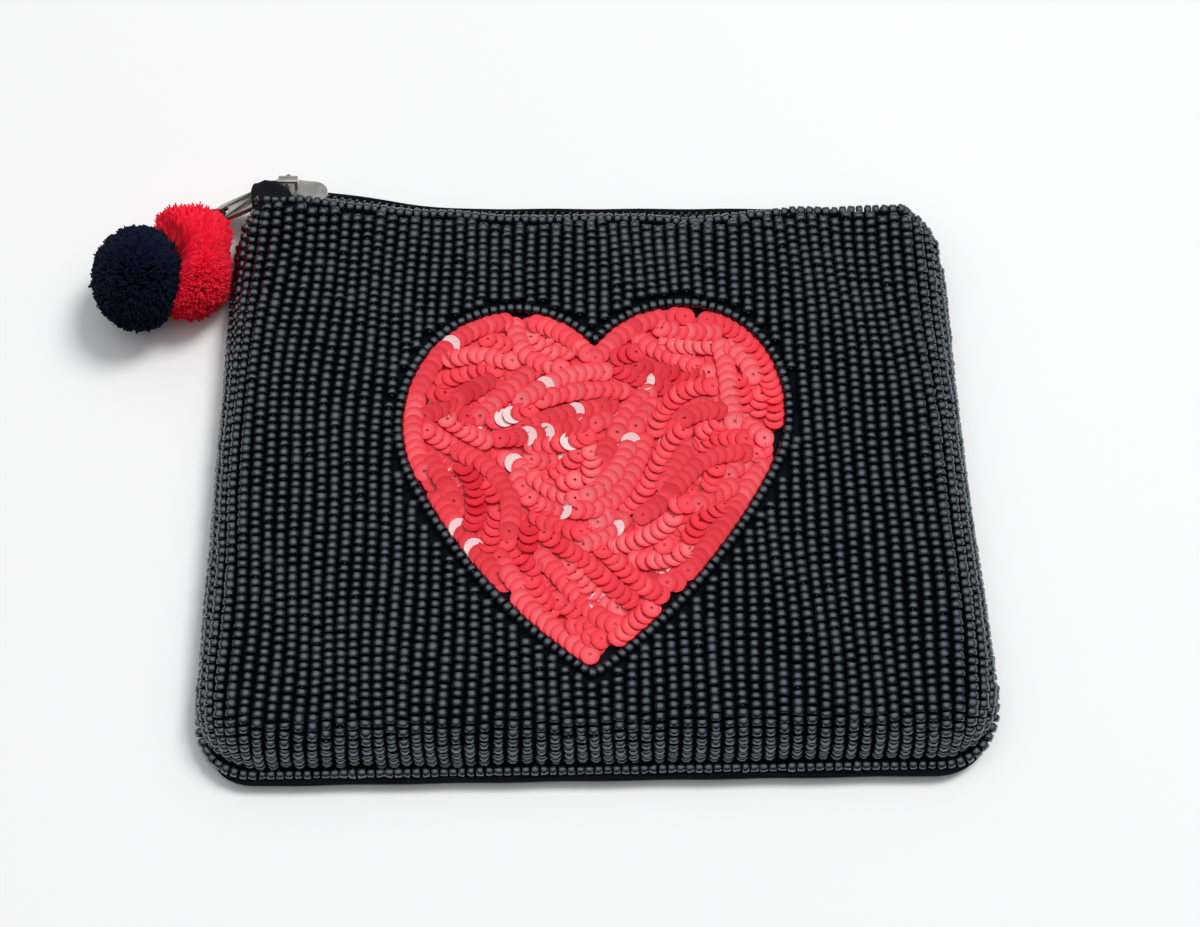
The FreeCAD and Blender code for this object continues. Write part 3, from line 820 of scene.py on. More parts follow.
def hemRow():
    xs = np.linspace(hemTurns["left"][0], hemTurns["right"][0], 90)
    wave = 0.12 * np.sin(xs / 4.1) + 0.08 * np.sin(xs / 1.9 + 2)
    straight = followHem(np.column_stack((xs, rows["hemY"] + wave, rows["hemZ"] + 0.6 * wave)))
    line = np.vstack((hemEnd("left", -1)[::-1], straight, hemEnd("right", 1)))
    line = even(line, rows["step"])
    rowPiece("hem_bead_row", line, [0.0, 0.35, 0.94], "hem_bead_strand", rows["hemSize"])


heartRow()
edgeRow()
hemRow()
dropTemplate(bead)
print("bead rows ready")

# sequins: cupped rings sewn in short wandering strings over an under layer, each lying on the one before

sequin = {
    "radius": 1.72, "hole": 0.3, "flat": 0.95, "cup": 0.1, "thick": 0.06, "around": 16, "rimShade": 0.5,
    "step": 1.5, "apart": 2.2, "squeeze": 0.78, "tilt": 13.0, "tiltSpread": 2.0, "rollSpread": 3.0,
    "base": 9.0, "rise": 0.12, "inside": 1.45, "edgeStep": 1.45, "edgeSlack": 0.12, "under": 2.3,
    "areaX": (-32, 32), "areaY": (-37, 29), "tries": 4200, "loose": 5000, "looseGap": 1.45, "anyTurn": 6.28,
    # the share of sequins given the painted glint, and the tint that reaches the pale pink top of the ramp
    "tone": 0.56, "toneWave": 0.2, "toneSpread": 0.13, "glintShare": 0.028, "glintTint": 0.99, "redMost": 0.86,
    "sizeSpread": 0.02, "grain": 0.06, "looseTilt": (2, 6), "looseTone": (0.4, 0.12),
    "underTilt": (1, 3), "underTone": (0.3, 0.1),
}


def makeSequin():
    clearSelection()
    radius = sequin["radius"] * mm
    bpy.ops.mesh.primitive_circle_add(vertices=sequin["around"], radius=radius, fill_type="NGON")
    ring = bpy.context.object
    editAll(ring)
    bpy.ops.mesh.inset(thickness=(sequin["radius"] - sequin["flat"]) * mm)
    bpy.ops.transform.translate(value=(0, 0, -sequin["cup"] * mm))
    bpy.ops.mesh.inset(thickness=(sequin["flat"] - sequin["hole"]) * mm)
    bpy.ops.mesh.delete(type="ONLY_FACE")
    bpy.ops.object.mode_set(mode="OBJECT")
    addWall(ring, sequin["thick"])
    return applyAll(ring)


def anySpot():
    return [dice.uniform(*sequin["areaX"]), dice.uniform(*sequin["areaY"])]


def edgeStrings():
    # strings that follow the outline just inside the bead row
    ring = heartLine - heartOutward * sequin["inside"]
    within = heartReach(ring) < sequin["edgeSlack"] - sequin["inside"]
    ring = even(ring[within], sequin["edgeStep"], closed=True)
    strings = []
    k = 0
    while k < len(ring):
        count = dice.randint(5, 12)
        line = ring[k:k + count]
        strings.append(line if dice.random() < 0.6 else line[::-1])
        k += count + dice.choice((0, 0, 3, 5))
    return strings


def stringPoints():
    # then strings marched through the heart along a wandering direction, kept apart from each other
    strings = edgeStrings()
    taken = np.vstack(strings)

    def heading(p):
        wave = 0.5 * math.sin(p[0] / 8.5 + 0.6) + 0.9 * math.sin(p[1] / 7.5 + p[0] / 17 + 1.2)
        return wave + 0.25 * math.sin(p[0] / 4.1 - p[1] / 5.2)

    def free(p, extra=1.0):
        if heartReach(np.array([p]))[0] > -sequin["inside"]:
            return False
        return np.min(np.linalg.norm(taken - p, axis=1)) > sequin["apart"] * extra

    for _ in range(sequin["tries"]):
        p = np.array(anySpot())
        if not free(p):
            continue
        line = [p]
        bias = dice.gauss(0, 0.3) + (math.pi if dice.random() < 0.4 else 0)
        for sign in (1, -1):
            q = p.copy()
            for _ in range(dice.randint(3, 7)):
                a = heading(q) + bias
                q = q + sign * sequin["step"] * np.array([math.cos(a), math.sin(a)])
                if not free(q, sequin["squeeze"]):
                    break
                line = line + [q] if sign > 0 else [q] + line
        strings.append(np.array(line))
        taken = np.vstack((taken, line))
    return strings, taken


def shadeRims(piece, flake, tints):
    # painted shade: each red sequin darkens towards its rim, standing in for the shadow at the edge of each
    # overlapping disc; the painted glint ones stay even
    reach = np.array([math.hypot(v.co.x, v.co.y) for v in flake.data.vertices]) / mm
    rim = np.clip((reach - sequin["flat"]) / (sequin["radius"] - sequin["flat"]), 0, 1)
    share = np.where(tints < sequin["glintTint"], sequin["rimShade"], 0.0)
    values = tints[:, None] * (1 - share[:, None] * rim[None])
    piece.data.attributes["tint"].data.foreach_set("value", values.reshape(-1).astype(np.float32))


def sequinPieces():
    flake = makeSequin()
    strings, taken = stringPoints()
    places, tints = [], []

    def add(p, a, level, tilting, tone):
        tiltBy = math.radians(tilting)
        roll = math.radians(dice.gauss(0, sequin["rollSpread"]))
        turn = Matrix.Rotation(a, 3, "Z") @ Matrix.Rotation(-tiltBy, 3, "Y") @ Matrix.Rotation(roll, 3, "X")
        turn = np.array(turn) * (1 + dice.gauss(0, sequin["sizeSpread"]))
        z = level + swell(p[0], p[1]) + math.sin(abs(tiltBy)) * sequin["radius"]
        places.append(placeAt(np.array([p[0], p[1], z]) * mm, *turn.T))
        # a few sequins take the pale pink of a painted glint instead of the red film's own colour
        glinting = dice.random() < sequin["glintShare"]
        red = 0 if glinting else float(np.clip(dice.gauss(tone, sequin["grain"]), 0, sequin["redMost"]))
        tints.append(sequin["glintTint"] if glinting else red)

    for line in strings:
        level = sequin["base"] + sequin["rise"] + dice.uniform(0.0, 0.3)
        x, y = line[len(line) // 2]
        tone = sequin["tone"] + sequin["toneWave"] * math.sin(x / 6 + y / 5) * math.sin(y / 8 - 0.5)
        tone += dice.gauss(0, sequin["toneSpread"])
        for k, p in enumerate(line):
            d = line[min(k + 1, len(line) - 1)] - line[max(k - 1, 0)]
            a = math.atan2(d[1], d[0]) if len(line) > 1 else dice.uniform(0, sequin["anyTurn"])
            add(p, a, level, sequin["tilt"] + dice.gauss(0, sequin["tiltSpread"]), tone)
    # loose sequins over any bare spot between the strings
    level = sequin["base"] + sequin["rise"] * 0.6
    spare = np.array([anySpot() for _ in range(sequin["loose"])])
    for p in spare[heartReach(spare) < -sequin["inside"]]:
        if np.min(np.linalg.norm(taken - p, axis=1)) > sequin["looseGap"]:
            a = dice.uniform(0, sequin["anyTurn"])
            add(p, a, level, dice.uniform(*sequin["looseTilt"]), dice.gauss(*sequin["looseTone"]))
            taken = np.vstack((taken, p))
    split = len(places)
    # under layer in close rows, seen only between the strings
    apart = sequin["under"]
    for r, y in enumerate(np.arange(-40, 30, apart * 0.87)):
        for x in np.arange(-34 + (r % 2) * apart / 2, 34, apart):
            p = np.array([x + dice.gauss(0, 0.2), y + dice.gauss(0, 0.2)])
            if heartReach(p[None])[0] < -sequin["inside"]:
                a = dice.uniform(0, sequin["anyTurn"])
                tilting = dice.uniform(*sequin["underTilt"])
                add(p, a, sequin["base"], tilting, dice.gauss(*sequin["underTone"]))
    layers = {"heart_sequin_layer": slice(0, split), "heart_sequin_under": slice(split, None)}
    for name, some in layers.items():
        piece = copyOnto(flake, name, places[some], tints[some], sequinRed)
        shadeRims(piece, flake, np.array(tints[some]))
        smooth(piece, 30)
        settle(piece, "pouch", "heart_sequins")
    dropTemplate(flake)
    print("sequins", split, "and", len(places) - split, "under")


sequinPieces()

# cloth: front and back panels and their linings, each a sheet laid in rings from its middle

cloth = {
    "rings": 16, "rollSteps": 8, "frontThick": 0.5, "backThick": 0.3, "liningThick": 0.25, "pucker": 0.16,
    "endLeft": -56.5, "endRight": 70.0, "topInset": 0.9, "cut": 1.1, "softAbove": 3.5,
    "turnFrom": 1.9, "turnFall": 1.2, "turnLowest": 3.2, "seamUp": 0.03,
    "liningDepth": 0.72, "liningBack": 3, "liningSeamUp": 0.1,
    "backLiningInsets": (6.2, 2.6, 2.6, 2.6), "backLiningCorner": 6.0, "backLiningThick": 0.15,
}


def ringSheet(name, rings, material):
    # rings of equal count, the first closed by a fan
    count = len(rings[0])
    points = [np.mean(rings[0], axis=0)]
    for ring in rings:
        points += list(ring)
    faces = [(0, 1 + k, 1 + (k + 1) % count) for k in range(count)]
    for r in range(len(rings) - 1):
        a, b = 1 + r * count, 1 + (r + 1) * count
        for k in range(count):
            j = (k + 1) % count
            faces.append((a + k, b + k, b + j, a + j))
    return meshPiece(name, np.array(points) * mm, faces, material)


def thicken(piece, thick, offset):
    addWall(piece, thick, offset)
    applyAll(piece)
    turnFacesOut(piece)


def flatArea(piece):
    return sum(p.area for p in piece.data.polygons)


def openMouth(piece, hemY, out):
    # cuts away what lies past the hem and above the zip's slope
    pick(piece)
    bpy.ops.object.mode_set(mode="EDIT")
    slopePoint = (np.array([0, *pouch["zipMiddle"]]) + out * zipOut) * mm
    for spot, normal in (((0, hemY * mm, 0), (0, 1, 0)), (tuple(slopePoint), tuple(zipOut))):
        bpy.ops.mesh.select_all(action="SELECT")
        bpy.ops.mesh.bisect(plane_co=spot, plane_no=normal)
    bpy.ops.object.mode_set(mode="OBJECT")
    table = bmesh.new()
    table.from_mesh(piece.data)
    gone = []
    for face in table.faces:
        c = face.calc_center_median()
        above = (np.array(c) - slopePoint) @ zipOut > 0
        between = cloth["endLeft"] * mm < c.x < cloth["endRight"] * mm
        if c.y > hemY * mm and (above or between):
            gone.append(face)
    bmesh.ops.delete(table, geom=gone, context="FACES")
    table.to_mesh(piece.data)
    table.free()


def frontSheet(name, depth, node, material, thick, hemY, seam):
    # the front with its ends carried up to the back's corners
    insets = (cloth["topInset"] + depth, depth, pouch["frontInsets"][2] + depth, depth)
    radius = pouch["roll"] - depth
    corner = pouch["frontCorner"] - depth
    flat, out = outlineRing([i + radius for i in insets], corner - radius, perSide=30)
    top = pouch["clothTop"] - depth
    rings = []
    for k in np.linspace(0.05, 1, cloth["rings"]):
        ring = flat * k
        rings.append(np.column_stack((ring, top + swell(ring[:, 0], ring[:, 1]))))
    for step in range(1, cloth["rollSteps"] + 1):
        a = math.pi / 2 * step / cloth["rollSteps"]
        ring = flat + out * radius * math.sin(a)
        z = top - radius + radius * math.cos(a) + swell(ring[:, 0], ring[:, 1]) * math.cos(a)
        rings.append(np.column_stack((ring, z)))
    last = rings[-1].copy()
    last[:, 2] = seam
    rings.append(last)
    piece = ringSheet(name, rings, material)
    openMouth(piece, hemY, -cloth["cut"] - depth * 0.2)
    for v in piece.data.vertices:
        if v.co.z > cloth["softAbove"] * mm:
            spot = followHem(np.array([v.co]) / mm)[0]
            fall = max(0.0, float(pastTurn(spot[None, :2])[0]) + cloth["turnFrom"])
            spot[2] = max(cloth["turnLowest"], spot[2] - cloth["turnFall"] * fall)
            v.co = Vector(spot * mm)
        v.co = Vector(belly(np.array([v.co]) / mm)[0] * mm)
    area = flatArea(piece)
    thicken(piece, thick, 1)
    settle(piece, "pouch", node)
    return piece, area


frontCloth, frontArea = frontSheet(
    "front_cloth", 0.0, "front_panel", clothBlack,
    cloth["frontThick"], pouch["hemY"], pouch["seam"] + cloth["seamUp"],
)
frontLining, frontLiningArea = frontSheet(
    "front_lining_cloth", cloth["liningDepth"], "front_lining", liningBlack,
    cloth["liningThick"], pouch["hemY"] - cloth["liningBack"], pouch["seam"] + cloth["liningSeamUp"],
)


backEdge = {
    "round": 1.6, "bottom": 0.6, "corner": 8.0, "pleat": 0.9, "slow": 0.23, "pinchIn": 0.12, "pinchOut": 0.4,
    "lift": 0.1, "mouthY": 50.8, "mouthRun": 0.6, "mouthHalf": 52, "mouthFade": 4, "mouthUp": 0.72,
    "below": 0.05, "lipIn": 0.45, "lipUp": 0.1, "turnIn": 0.5, "turnMore": 3.4, "turnDown": 0.3,
    "pullX": 38, "pullY": 36, "pullRun": 16,
}


def backSheet():
    radius = backEdge["round"]
    insets = (radius, radius, radius - backEdge["bottom"], radius)
    flat, out = outlineRing(insets, backEdge["corner"] - radius, perSide=46, perCorner=10)
    along = np.arange(len(flat))
    pleats = np.sin(along * backEdge["pleat"])
    slow = np.sin(along * backEdge["slow"] + 1)
    rings = []
    for k in np.linspace(0.05, 1, cloth["rings"] + 4):
        rise = cloth["pucker"] * k ** 6 * (0.5 + 0.5 * pleats) * (0.5 + 0.5 * slow)
        rings.append(np.column_stack((flat * k, rise * 0.5)))
    for a in np.linspace(0, math.pi / 2, 7)[1:]:
        pinch = cloth["pucker"] * np.sin(along * backEdge["pleat"] + 0.5) * math.sin(a)
        reach = radius * math.sin(a) - backEdge["pinchIn"] + backEdge["pinchOut"] * pinch
        z = radius - radius * math.cos(a) + backEdge["lift"] * (1 + pleats) * cloth["pucker"]
        rings.append(np.column_stack((flat + out * reach[:, None], z)))
    # the wall stands a little higher along the mouth, where it carries the zip
    mouth = np.clip((flat[:, 1] - backEdge["mouthY"]) / backEdge["mouthRun"], 0, 1)
    aside = backEdge["mouthHalf"] - np.abs(flat[:, 0] + 1)
    mouth = mouth * np.clip(aside / backEdge["mouthFade"], 0, 1)
    rim = rings[-1].copy()
    rim[:, 2] = pouch["seam"] - backEdge["below"] + backEdge["mouthUp"] * mouth
    lip = rim.copy()
    lip[:, :2] -= out * backEdge["lipIn"]
    lip[:, 2] += backEdge["lipUp"]
    turned = lip.copy()
    turned[:, :2] -= out * (backEdge["turnIn"] + backEdge["turnMore"] * (1 - mouth))[:, None]
    turned[:, 2] -= backEdge["turnDown"]
    rings += [rim, lip, turned]
    for ring in rings:
        pull = mouthSag["rim"] * sagShare(ring[:, 0])
        pull = pull + mouthSag["rimEnd"] * ease((ring[:, 0] - backEdge["pullX"]) / backEdge["pullRun"])
        ring[:, 1] -= pull * ease((ring[:, 1] - backEdge["pullY"]) / backEdge["pullRun"])
    piece = ringSheet("back_cloth", [belly(ring) for ring in rings], clothBlack)
    turnFacesOut(piece)
    area = flatArea(piece)
    thicken(piece, cloth["backThick"], -1)
    settle(piece, "pouch", "back_panel")
    return piece, area


backCloth, backArea = backSheet()


def backLiningSheet():
    flat, _ = outlineRing(cloth["backLiningInsets"], cloth["backLiningCorner"], perSide=30)
    rings = []
    for k in np.linspace(0.05, 1, 12):
        ripple = 0.08 * np.sin(flat[:, 0] * k / 6) * np.sin(flat[:, 1] * k / 7)
        rings.append(np.column_stack((flat * k, 1.0 + ripple)))
    piece = ringSheet("back_lining_cloth", rings, liningBlack)
    area = flatArea(piece)
    thicken(piece, cloth["backLiningThick"], 0)
    settle(piece, "pouch", "back_lining")
    return piece, area


backLining, backLiningArea = backLiningSheet()
print("cloth ready")

# zip: woven tapes and interlocked coils, each in two halves

zipSet = {
    "left": -56.4, "right": 54.6, "middle": 0.0, "front": (-4.9, -0.9), "back": (0.9, 3.9), "tapeThick": 0.45,
    "coilLeft": -52.2, "coilRight": 53.4, "pitch": 1.3, "perTurn": 10, "sway": 0.12, "wire": 0.27,
    "coilOuter": 2.0, "coilInner": -0.45, "coilLow": 0.5, "coilHigh": 1.42,
    "openLeft": -30.0, "openRight": 24.0, "closedLeft": -54.0, "closedRight": 46.0,
    "bendFrom": 2.2, "frontBend": -1.4, "backBend": -0.9, "endRun": 9, "edge": 0.08,
    "frontDraw": 1.1, "backDraw": 1.9, "backDrop": 0.5,
}


def blendHalf(piece, half):
    if half == "left":
        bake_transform(piece)
    else:
        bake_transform(piece)


def halfSpan(half, left, right):
    if half == "left":
        return zipSet[left], zipSet["middle"]
    return zipSet["middle"], zipSet[right]


def tapeHalf(name, half, reach, node):
    low, high = halfSpan(half, "left", "right")
    inner, outer = reach
    clearSelection()
    bpy.ops.mesh.primitive_grid_add(x_subdivisions=60, y_subdivisions=6, size=1)
    piece = bpy.context.object
    piece.name = piece.data.name = name
    for v in piece.data.vertices:
        x = low + (v.co.x + 0.5) * (high - low)
        w = inner + (v.co.y + 0.5) * (outer - inner)
        n = 0.05 * math.sin(x / 3.3) * math.sin(w)
        if abs(w) > zipSet["bendFrom"]:
            bend = zipSet["frontBend"] if w < 0 else zipSet["backBend"]
            w += float(sagShare(x)) * bend * (abs(w) - zipSet["bendFrom"]) / 2
        end = min(x - zipSet["left"], zipSet["right"] - x)
        near = max(0, 1 - end / zipSet["endRun"])
        # the outer edges draw in at both ends, under the rolled corners
        if inner < 0:
            w = w + zipSet["frontDraw"] * near * (outer - w) / (outer - inner)
        else:
            w = w - zipSet["backDraw"] * near ** 2 * (w - inner) / (outer - inner)
            n -= zipSet["backDrop"] * near ** 2
        v.co = Vector(zipPoint(x, w, n) * mm)
    addWall(piece, zipSet["tapeThick"])
    addBevel(piece, zipSet["edge"], 1)
    applyAll(piece)
    smooth(piece)
    dress(piece, tapeBlack)
    blendHalf(piece, half)
    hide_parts(node)


def coilHalf(name, half, side, node):
    low, high = halfSpan(half, "coilLeft", "coilRight")
    pitch = zipSet["pitch"]
    turns = int((high - low) / pitch)
    start = low if half == "left" else high - turns * pitch
    start += 0 if side < 0 else pitch / 2
    middleW = (zipSet["coilOuter"] + zipSet["coilInner"]) / 2
    halfW = (zipSet["coilOuter"] - zipSet["coilInner"]) / 2 - zipSet["wire"]
    middleN = (zipSet["coilLow"] + zipSet["coilHigh"]) / 2
    halfN = (zipSet["coilHigh"] - zipSet["coilLow"]) / 2
    path = []
    for k in range(turns * zipSet["perTurn"] + 1):
        a = 2 * math.pi * k / zipSet["perTurn"]
        w = side * (middleW - halfW * math.cos(a))
        n = middleN + halfN * math.sin(a)
        x = start + pitch * (k / zipSet["perTurn"] + zipSet["sway"] * math.sin(a))
        path.append(zipPoint(x, w, n))
    piece = strand(name, path, zipSet["wire"])
    setTint(piece, rolls.uniform(0, 1, len(piece.data.vertices)))
    dress(piece, coilBlack)
    smoothAll(piece)
    blendHalf(piece, half)
    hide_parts(node)


for half in ("left", "right"):
    tapeHalf("front_tape_" + half, half, zipSet["front"], "zip_tape_front")
    tapeHalf("back_tape_" + half, half, zipSet["back"], "zip_tape_back")
    coilHalf("front_coil_" + half, half, -1, "zip_coil_front")
    coilHalf("back_coil_" + half, half, 1, "zip_coil_back")
print("zip ready")

# slider, bail and pull: the CAD forms with their edges eased

hardware = {
    "slider_body": ("slider_shell", 0.22, "slider", nickel),
    "slider_bail": ("slider_bridge", 0.2, "slider", nickel),
    "pull_tab": ("pull_plate", 0.16, "pull", dullNickel),
}


def easedCopy(node, name, width, body, metal):
    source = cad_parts[node]
    piece = source.copy()
    piece.data = source.data.copy()
    for key in list(piece.keys()):
        del piece[key]
    piece.parent = None
    piece.name = piece.data.name = name
    scene.collection.objects.link(piece)
    editAll(piece)
    bpy.ops.mesh.remove_doubles(threshold=0.000002)
    bpy.ops.mesh.dissolve_limited(angle_limit=math.radians(3))
    bpy.ops.object.mode_set(mode="OBJECT")
    addBevel(piece, width, 3, angle=40)
    applyAll(piece)
    smooth(piece, 50)
    dress(piece, metal)
    settle(piece, body, node)


for node, item in hardware.items():
    easedCopy(node, *item)
print("hardware ready")

# tie cords: two plies twisted round a line

tie = {
    "ply": 0.23, "off": 0.2, "turn": 1.5, "step": 0.22, "from": 1.5,
    "eye": 14.9, "ring": 1.3, "wound": 0.62, "woundLong": 1.1,
}
hingePoint = np.array([-53.7, 50.995, 9.08])
knotPoint = np.array([-68.491, 47.932, 1.5])
pullWay = unit(knotPoint - hingePoint)


def twisted(name, line, body, node):
    line = even(line, tie["step"])
    tangent = unit(np.gradient(line, axis=0))
    side = unit(np.cross(tangent, [0.3, 0.2, 0.93]))
    up = np.cross(side, tangent)
    length = np.arange(len(line)) * tie["step"]
    made = []
    for ply in (0, 1):
        a = length / tie["turn"] * 2 * math.pi + ply * math.pi
        path = line + (side * np.cos(a)[:, None] + up * np.sin(a)[:, None]) * tie["off"]
        made.append(strand(name, path, tie["ply"]))
    clearSelection()
    for piece in made:
        piece.select_set(True)
    bpy.context.view_layer.objects.active = made[0]
    bpy.ops.object.join()
    piece = bpy.context.object
    piece.name = piece.data.name = name
    setTint(piece, rolls.uniform(0, 1, len(piece.data.vertices)))
    dress(piece, cordBlack)
    smoothAll(piece)
    settle(piece, body, node)


def loopLine():
    # once through the pull's eye, then a small knot wound round itself
    ringMiddle = hingePoint + pullWay * tie["eye"]
    out = unit(np.cross(pullWay, zipAcross))
    line = []
    for t in np.linspace(0, 2 * math.pi, 40):
        line.append(ringMiddle + tie["ring"] * (pullWay * math.cos(t) + out * math.sin(t)))
    for t in np.linspace(0, 1, 60):
        a = t * 4 * math.pi
        turned = zipAcross * math.cos(a) + out * math.sin(a)
        line.append(knotPoint + tie["wound"] * turned + pullWay * (t - 0.5) * tie["woundLong"])
    return np.array(line)


twisted("pull_loop", loopLine(), "pull", "pull_cord_loop")
redMiddle = np.array([-71.85, 34.6, 6.8])
blackMiddle = np.array([-81.65, 33.0, 7.6])
for name, node, body, middle, entry in (
    ("red_tie", "red_pom_cord", "red_pom", redMiddle, 3.0),
    ("black_tie", "black_pom_cord", "black_pom", blackMiddle, 4.6),
):
    end = middle + np.array([0, entry, 0])
    way = unit(end - knotPoint)
    runs = np.linspace(tie["from"], np.linalg.norm(end - knotPoint), 30)
    twisted(name, np.array([knotPoint + way * t for t in runs]), body, node)

# pom-poms: bundles of yarn fibres that fan out from each ball's middle

poms = {
    "red": {"shift": (1.7, 0.4, 0.2), "radius": (7.3, 7.9, 7.3)},
    "black": {"shift": (3.3, 0.3, 0.8), "radius": (7.8, 8.9, 7.9)},
}
yarn = {
    "bundles": 2300, "fibres": 7, "thick": 0.22, "wayJitter": 0.06, "reachJitter": 0.022, "root": 0.4,
    "flare": 0.13, "tipSpread": 1.7, "rootSpread": 0.16, "shade": (0.5, 0.13), "fibreShade": 0.14,
    "tuftWay": (-0.14, 0.93, 0.25), "tuft": 0.46, "tuftFrom": 0.3, "tuftRun": 0.45, "tuftFlare": 0.06,
    "meetX": -72.9, "meetZ": 7.5, "meetLean": 0.7, "meetY": 37, "meetRun": 6, "meetBack": 4.0,
    "purseX": -63.7, "purseY": 34, "purseLean": 0.019, "purseTop": 6.2, "overEdge": 0.4,
    "low": 0.25, "lowest": 0.12,
}


def meetAt(spot):
    # where the two balls press on each other, the black one lying a little over the red one
    lean = yarn["meetLean"] * (spot[2] - yarn["meetZ"])
    return yarn["meetX"] + lean - yarn["meetBack"] * ease((spot[1] - yarn["meetY"]) / yarn["meetRun"])


def purseEdge(spot):
    # the red ball's side next to the purse bends up over its edge
    side = yarn["purseX"] + yarn["purseLean"] * (spot[1] - yarn["purseY"])
    return side + max(0, spot[2] - yarn["purseTop"]) * yarn["overEdge"]


def makeFibre():
    # a three sided strand, one unit long
    clearSelection()
    bpy.ops.mesh.primitive_cone_add(
        vertices=3, radius1=1.0, radius2=0.8, depth=1.0, location=(0, 0, 0.5), end_fill_type="NGON",
    )
    fibre = bpy.context.object
    bpy.ops.object.transform_apply(location=True, rotation=True, scale=True)
    return fibre


def pomPiece(name, pom, middle, material, body, node):
    fibre = makeFibre()
    places, tints = [], []
    count = yarn["bundles"]
    golden = math.pi * (3 - math.sqrt(5))
    middle = middle + np.array(pom["shift"])
    red = body == "red_pom"
    for i in range(count):
        z = 1 - 2 * (i + 0.5) / count
        a = golden * i
        level = math.sqrt(1 - z * z)
        way = np.array([math.cos(a) * level, math.sin(a) * level, z])
        way = unit(way + rolls.normal(0, yarn["wayJitter"], 3))
        reach = 1 + rolls.normal(0, yarn["reachJitter"])
        flare = yarn["flare"]
        if red:
            lift = max(0.0, way @ unit(yarn["tuftWay"]))
            share = ease((lift - yarn["tuftFrom"]) / yarn["tuftRun"])
            reach += yarn["tuft"] * share * rolls.uniform(0.8, 1.1)
            flare += yarn["tuftFlare"] * (lift > 0.6)
        tip = middle + way * np.array(pom["radius"]) * reach
        root = middle + yarn["root"] * (tip - middle)
        tip[2] = max(tip[2], yarn["low"] + rolls.uniform(0, 0.25))
        if red:
            tip[0] = max(tip[0], meetAt(tip) + rolls.uniform(0.1, 0.5))
            tip[0] = min(tip[0], purseEdge(tip))
        else:
            tip[0] = min(tip[0], meetAt(tip) - rolls.uniform(0.1, 0.4))
        shade = rolls.normal(*yarn["shade"])
        for _ in range(yarn["fibres"]):
            end = tip + rolls.normal(0, flare * yarn["tipSpread"], 3)
            start = root + rolls.normal(0, yarn["rootSpread"], 3)
            end[2] = max(end[2], yarn["lowest"])
            run = end - start
            out = run / np.linalg.norm(run)
            side = unit(np.cross(out, [0.21, 0.4, 0.89]))
            up = np.cross(out, side)
            thick = yarn["thick"] * rolls.uniform(0.75, 1.25)
            places.append(placeAt(start * mm, side * thick * mm, up * thick * mm, run * mm))
            tints.append(float(np.clip(shade + rolls.normal(0, yarn["fibreShade"]), 0, 1)))
    piece = copyOnto(fibre, name, places, tints, material)
    dropTemplate(fibre)
    settle(piece, body, node)
    print(name, "fibres", len(places))


pomPiece("red_pom_yarn", poms["red"], redMiddle, yarnRed, "red_pom", "red_pompom")
pomPiece("black_pom_yarn", poms["black"], blackMiddle, yarnBlack, "black_pom", "black_pompom")

# tape ends: a gathered fold at each end of the zip, and the thread tacks

folds = {
    "left_tape_fold": {
        "node": "zip_end_left", "low": -59.6, "high": -51.6,
        "tall": 7.3, "thick": 0.95, "curl": 1.2, "drop": 0.4,
    },
    "right_tape_fold": {
        "node": "zip_end_right", "low": 50.4, "high": 55.0,
        "tall": 1.4, "thick": 0.8, "curl": 0.0, "drop": 0.0,
    },
}
tack = {"radius": 0.12, "long": 0.75, "half": 1.55, "step": 0.2, "along": 0.35, "out": 0.34}


def boxed(t, power):
    return math.copysign(abs(t) ** power, t)


def foldPiece(name, fold):
    clearSelection()
    bpy.ops.mesh.primitive_uv_sphere_add(segments=64, ring_count=24, radius=1)
    piece = bpy.context.object
    piece.name = piece.data.name = name
    half = (fold["high"] - fold["low"]) / 2
    centre = (fold["high"] + fold["low"]) / 2
    for v in piece.data.vertices:
        x, y, z = boxed(v.co.x, 0.5), boxed(v.co.y, 0.8), boxed(v.co.z, 0.45)
        pleat = 0.2 * math.sin(x * 13) + 0.05 * math.sin(x * 17 + z * 2)
        along = centre + half * x
        across = -4.1 + fold["thick"] / 2 * y + (pleat * (0.6 + 0.4 * z) if y < 0.2 else 0)
        height = fold["tall"] * (1 - fold["drop"] * max(0.0, x + 0.1) ** 2 - 0.1 * max(0.0, -x - 0.3))
        out = 0.35 + height * (0.5 + 0.5 * z) + 0.06 * math.sin(x * 13)
        across += fold["curl"] * float(ease((out - 2.4) / 5))
        v.co = Vector(zipPoint(along, across, out) * mm)
    dress(piece, foldBlack)
    smooth(piece, 180)
    settle(piece, "pouch", fold["node"])


for name, fold in folds.items():
    foldPiece(name, fold)


def tackPiece(name, node, low):
    # a bar of thread: overcast stitches side by side across both tapes
    clearSelection()
    bpy.ops.mesh.primitive_cylinder_add(vertices=6, radius=tack["radius"] * mm, depth=tack["long"] * mm)
    stitch = bpy.context.object
    places = []
    for w in np.arange(-tack["half"], tack["half"] + 0.01, tack["step"]):
        spot = zipPoint(low + tack["along"], w, tack["out"]) * mm
        places.append(placeAt(spot, zipAcross, zipOut, np.array([1, 0, 0])))
    piece = copyOnto(stitch, name, places, rolls.uniform(0, 1, len(places)), cordBlack)
    dropTemplate(stitch)
    settle(piece, "pouch", node)


tackPiece("left_zip_tack", "zip_tack_left", -56.4)
tackPiece("right_zip_tack", "zip_tack_right", 53.6)
print("ends ready")

# floor, light and camera

studio = {
    "floor": 6.0, "keyAt": (1.05, 0.85, 2.1), "keySize": 0.9, "keyPower": 36.0, "world": 1.0,
    "tentWide": 0.7, "tentLean": 12, "floorColour": (0.975, 0.975, 0.975), "floorDown": 0.0001,
    "lens": 62.4, "sensor": 36.0, "target": (1.0, 0.6, 5.0), "rise": 70, "away": 350.5,
}


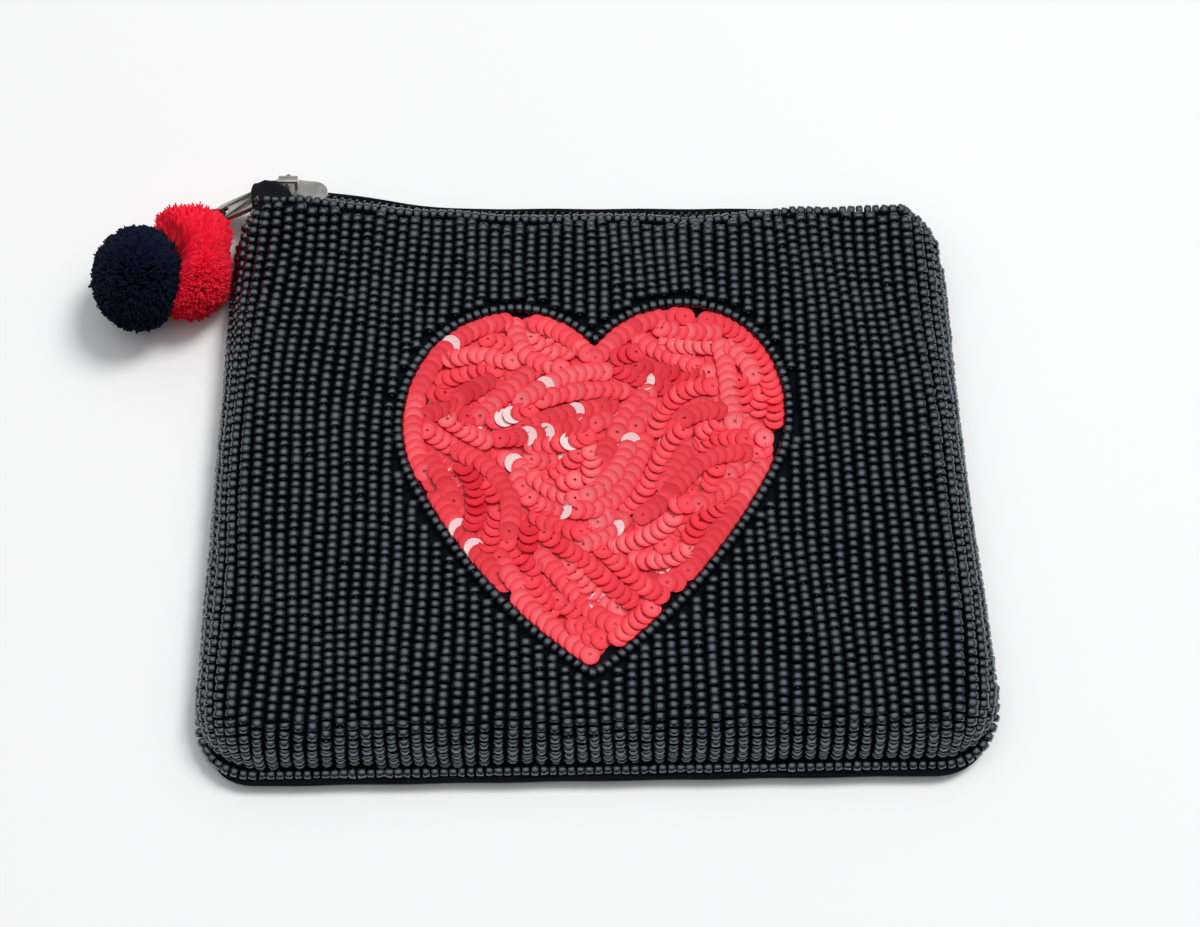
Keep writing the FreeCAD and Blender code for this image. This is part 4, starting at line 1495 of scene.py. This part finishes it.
def makeFloor():
    clearSelection()
    spot = (0, 0, -studio["floorDown"])
    bpy.ops.mesh.primitive_grid_add(x_subdivisions=4, y_subdivisions=4, size=studio["floor"], location=spot)
    floor = bpy.context.object
    floor.name = "floor"
    material, _, shader, _ = newMaterial("pale_floor")
    setSockets(shader, Base_Color=(*studio["floorColour"], 1), Roughness=0.9, Specular_IOR_Level=0.1)
    dress(floor, material)


def makeLight():
    world = bpy.data.worlds.new("studio")
    scene.world = world
    world.use_nodes = True
    tree = world.node_tree
    # an overhead tent, bright above and dim towards the horizon
    back = tree.nodes["Background"]
    setSockets(back, Strength=studio["world"])
    where = addNode(tree, "TexCoord").outputs["Generated"]
    turn = (math.radians(studio["tentLean"]), 0, 0)
    lean = mapped(tree, where, Scale=(studio["tentWide"], 1, 1), Rotation=turn)
    level = addNode(tree, "VectorMath")
    level.operation = "NORMALIZE"
    tree.links.new(lean, level.inputs[0])
    split = addNode(tree, "SeparateXYZ")
    tree.links.new(level.outputs["Vector"], split.inputs["Vector"])
    stops = [(0.4, (0.03, 0.03, 0.033)), (0.72, (0.4, 0.4, 0.41)), (0.97, (0.98, 0.99, 1))]
    colourFrom(tree, split.outputs["Z"], stops, back.inputs["Color"])
    lamp = bpy.data.lights.new("key", "AREA")
    lamp.shape = "DISK"
    lamp.size = studio["keySize"]
    lamp.energy = studio["keyPower"]
    key = bpy.data.objects.new("key", lamp)
    scene.collection.objects.link(key)
    key.location = studio["keyAt"]
    key.visible_glossy = False
    key.rotation_mode = "QUATERNION"
    key.rotation_quaternion = (-Vector(studio["keyAt"])).to_track_quat("-Z", "Y")


def makeCamera():
    data = bpy.data.cameras.new("camera")
    data.sensor_width = studio["sensor"]
    data.lens = studio["lens"]
    data.clip_start = 0.01
    camera = bpy.data.objects.new("camera", data)
    scene.collection.objects.link(camera)
    target = Vector(studio["target"]) * mm
    rise = math.radians(studio["rise"])
    back = Vector((0, -math.cos(rise), math.sin(rise)))
    camera.location = target + back * studio["away"] * mm
    camera.rotation_mode = "QUATERNION"
    camera.rotation_quaternion = (-back).to_track_quat("-Z", "Y")
    scene.camera = camera


makeFloor()
makeLight()
makeCamera()
print("studio ready")
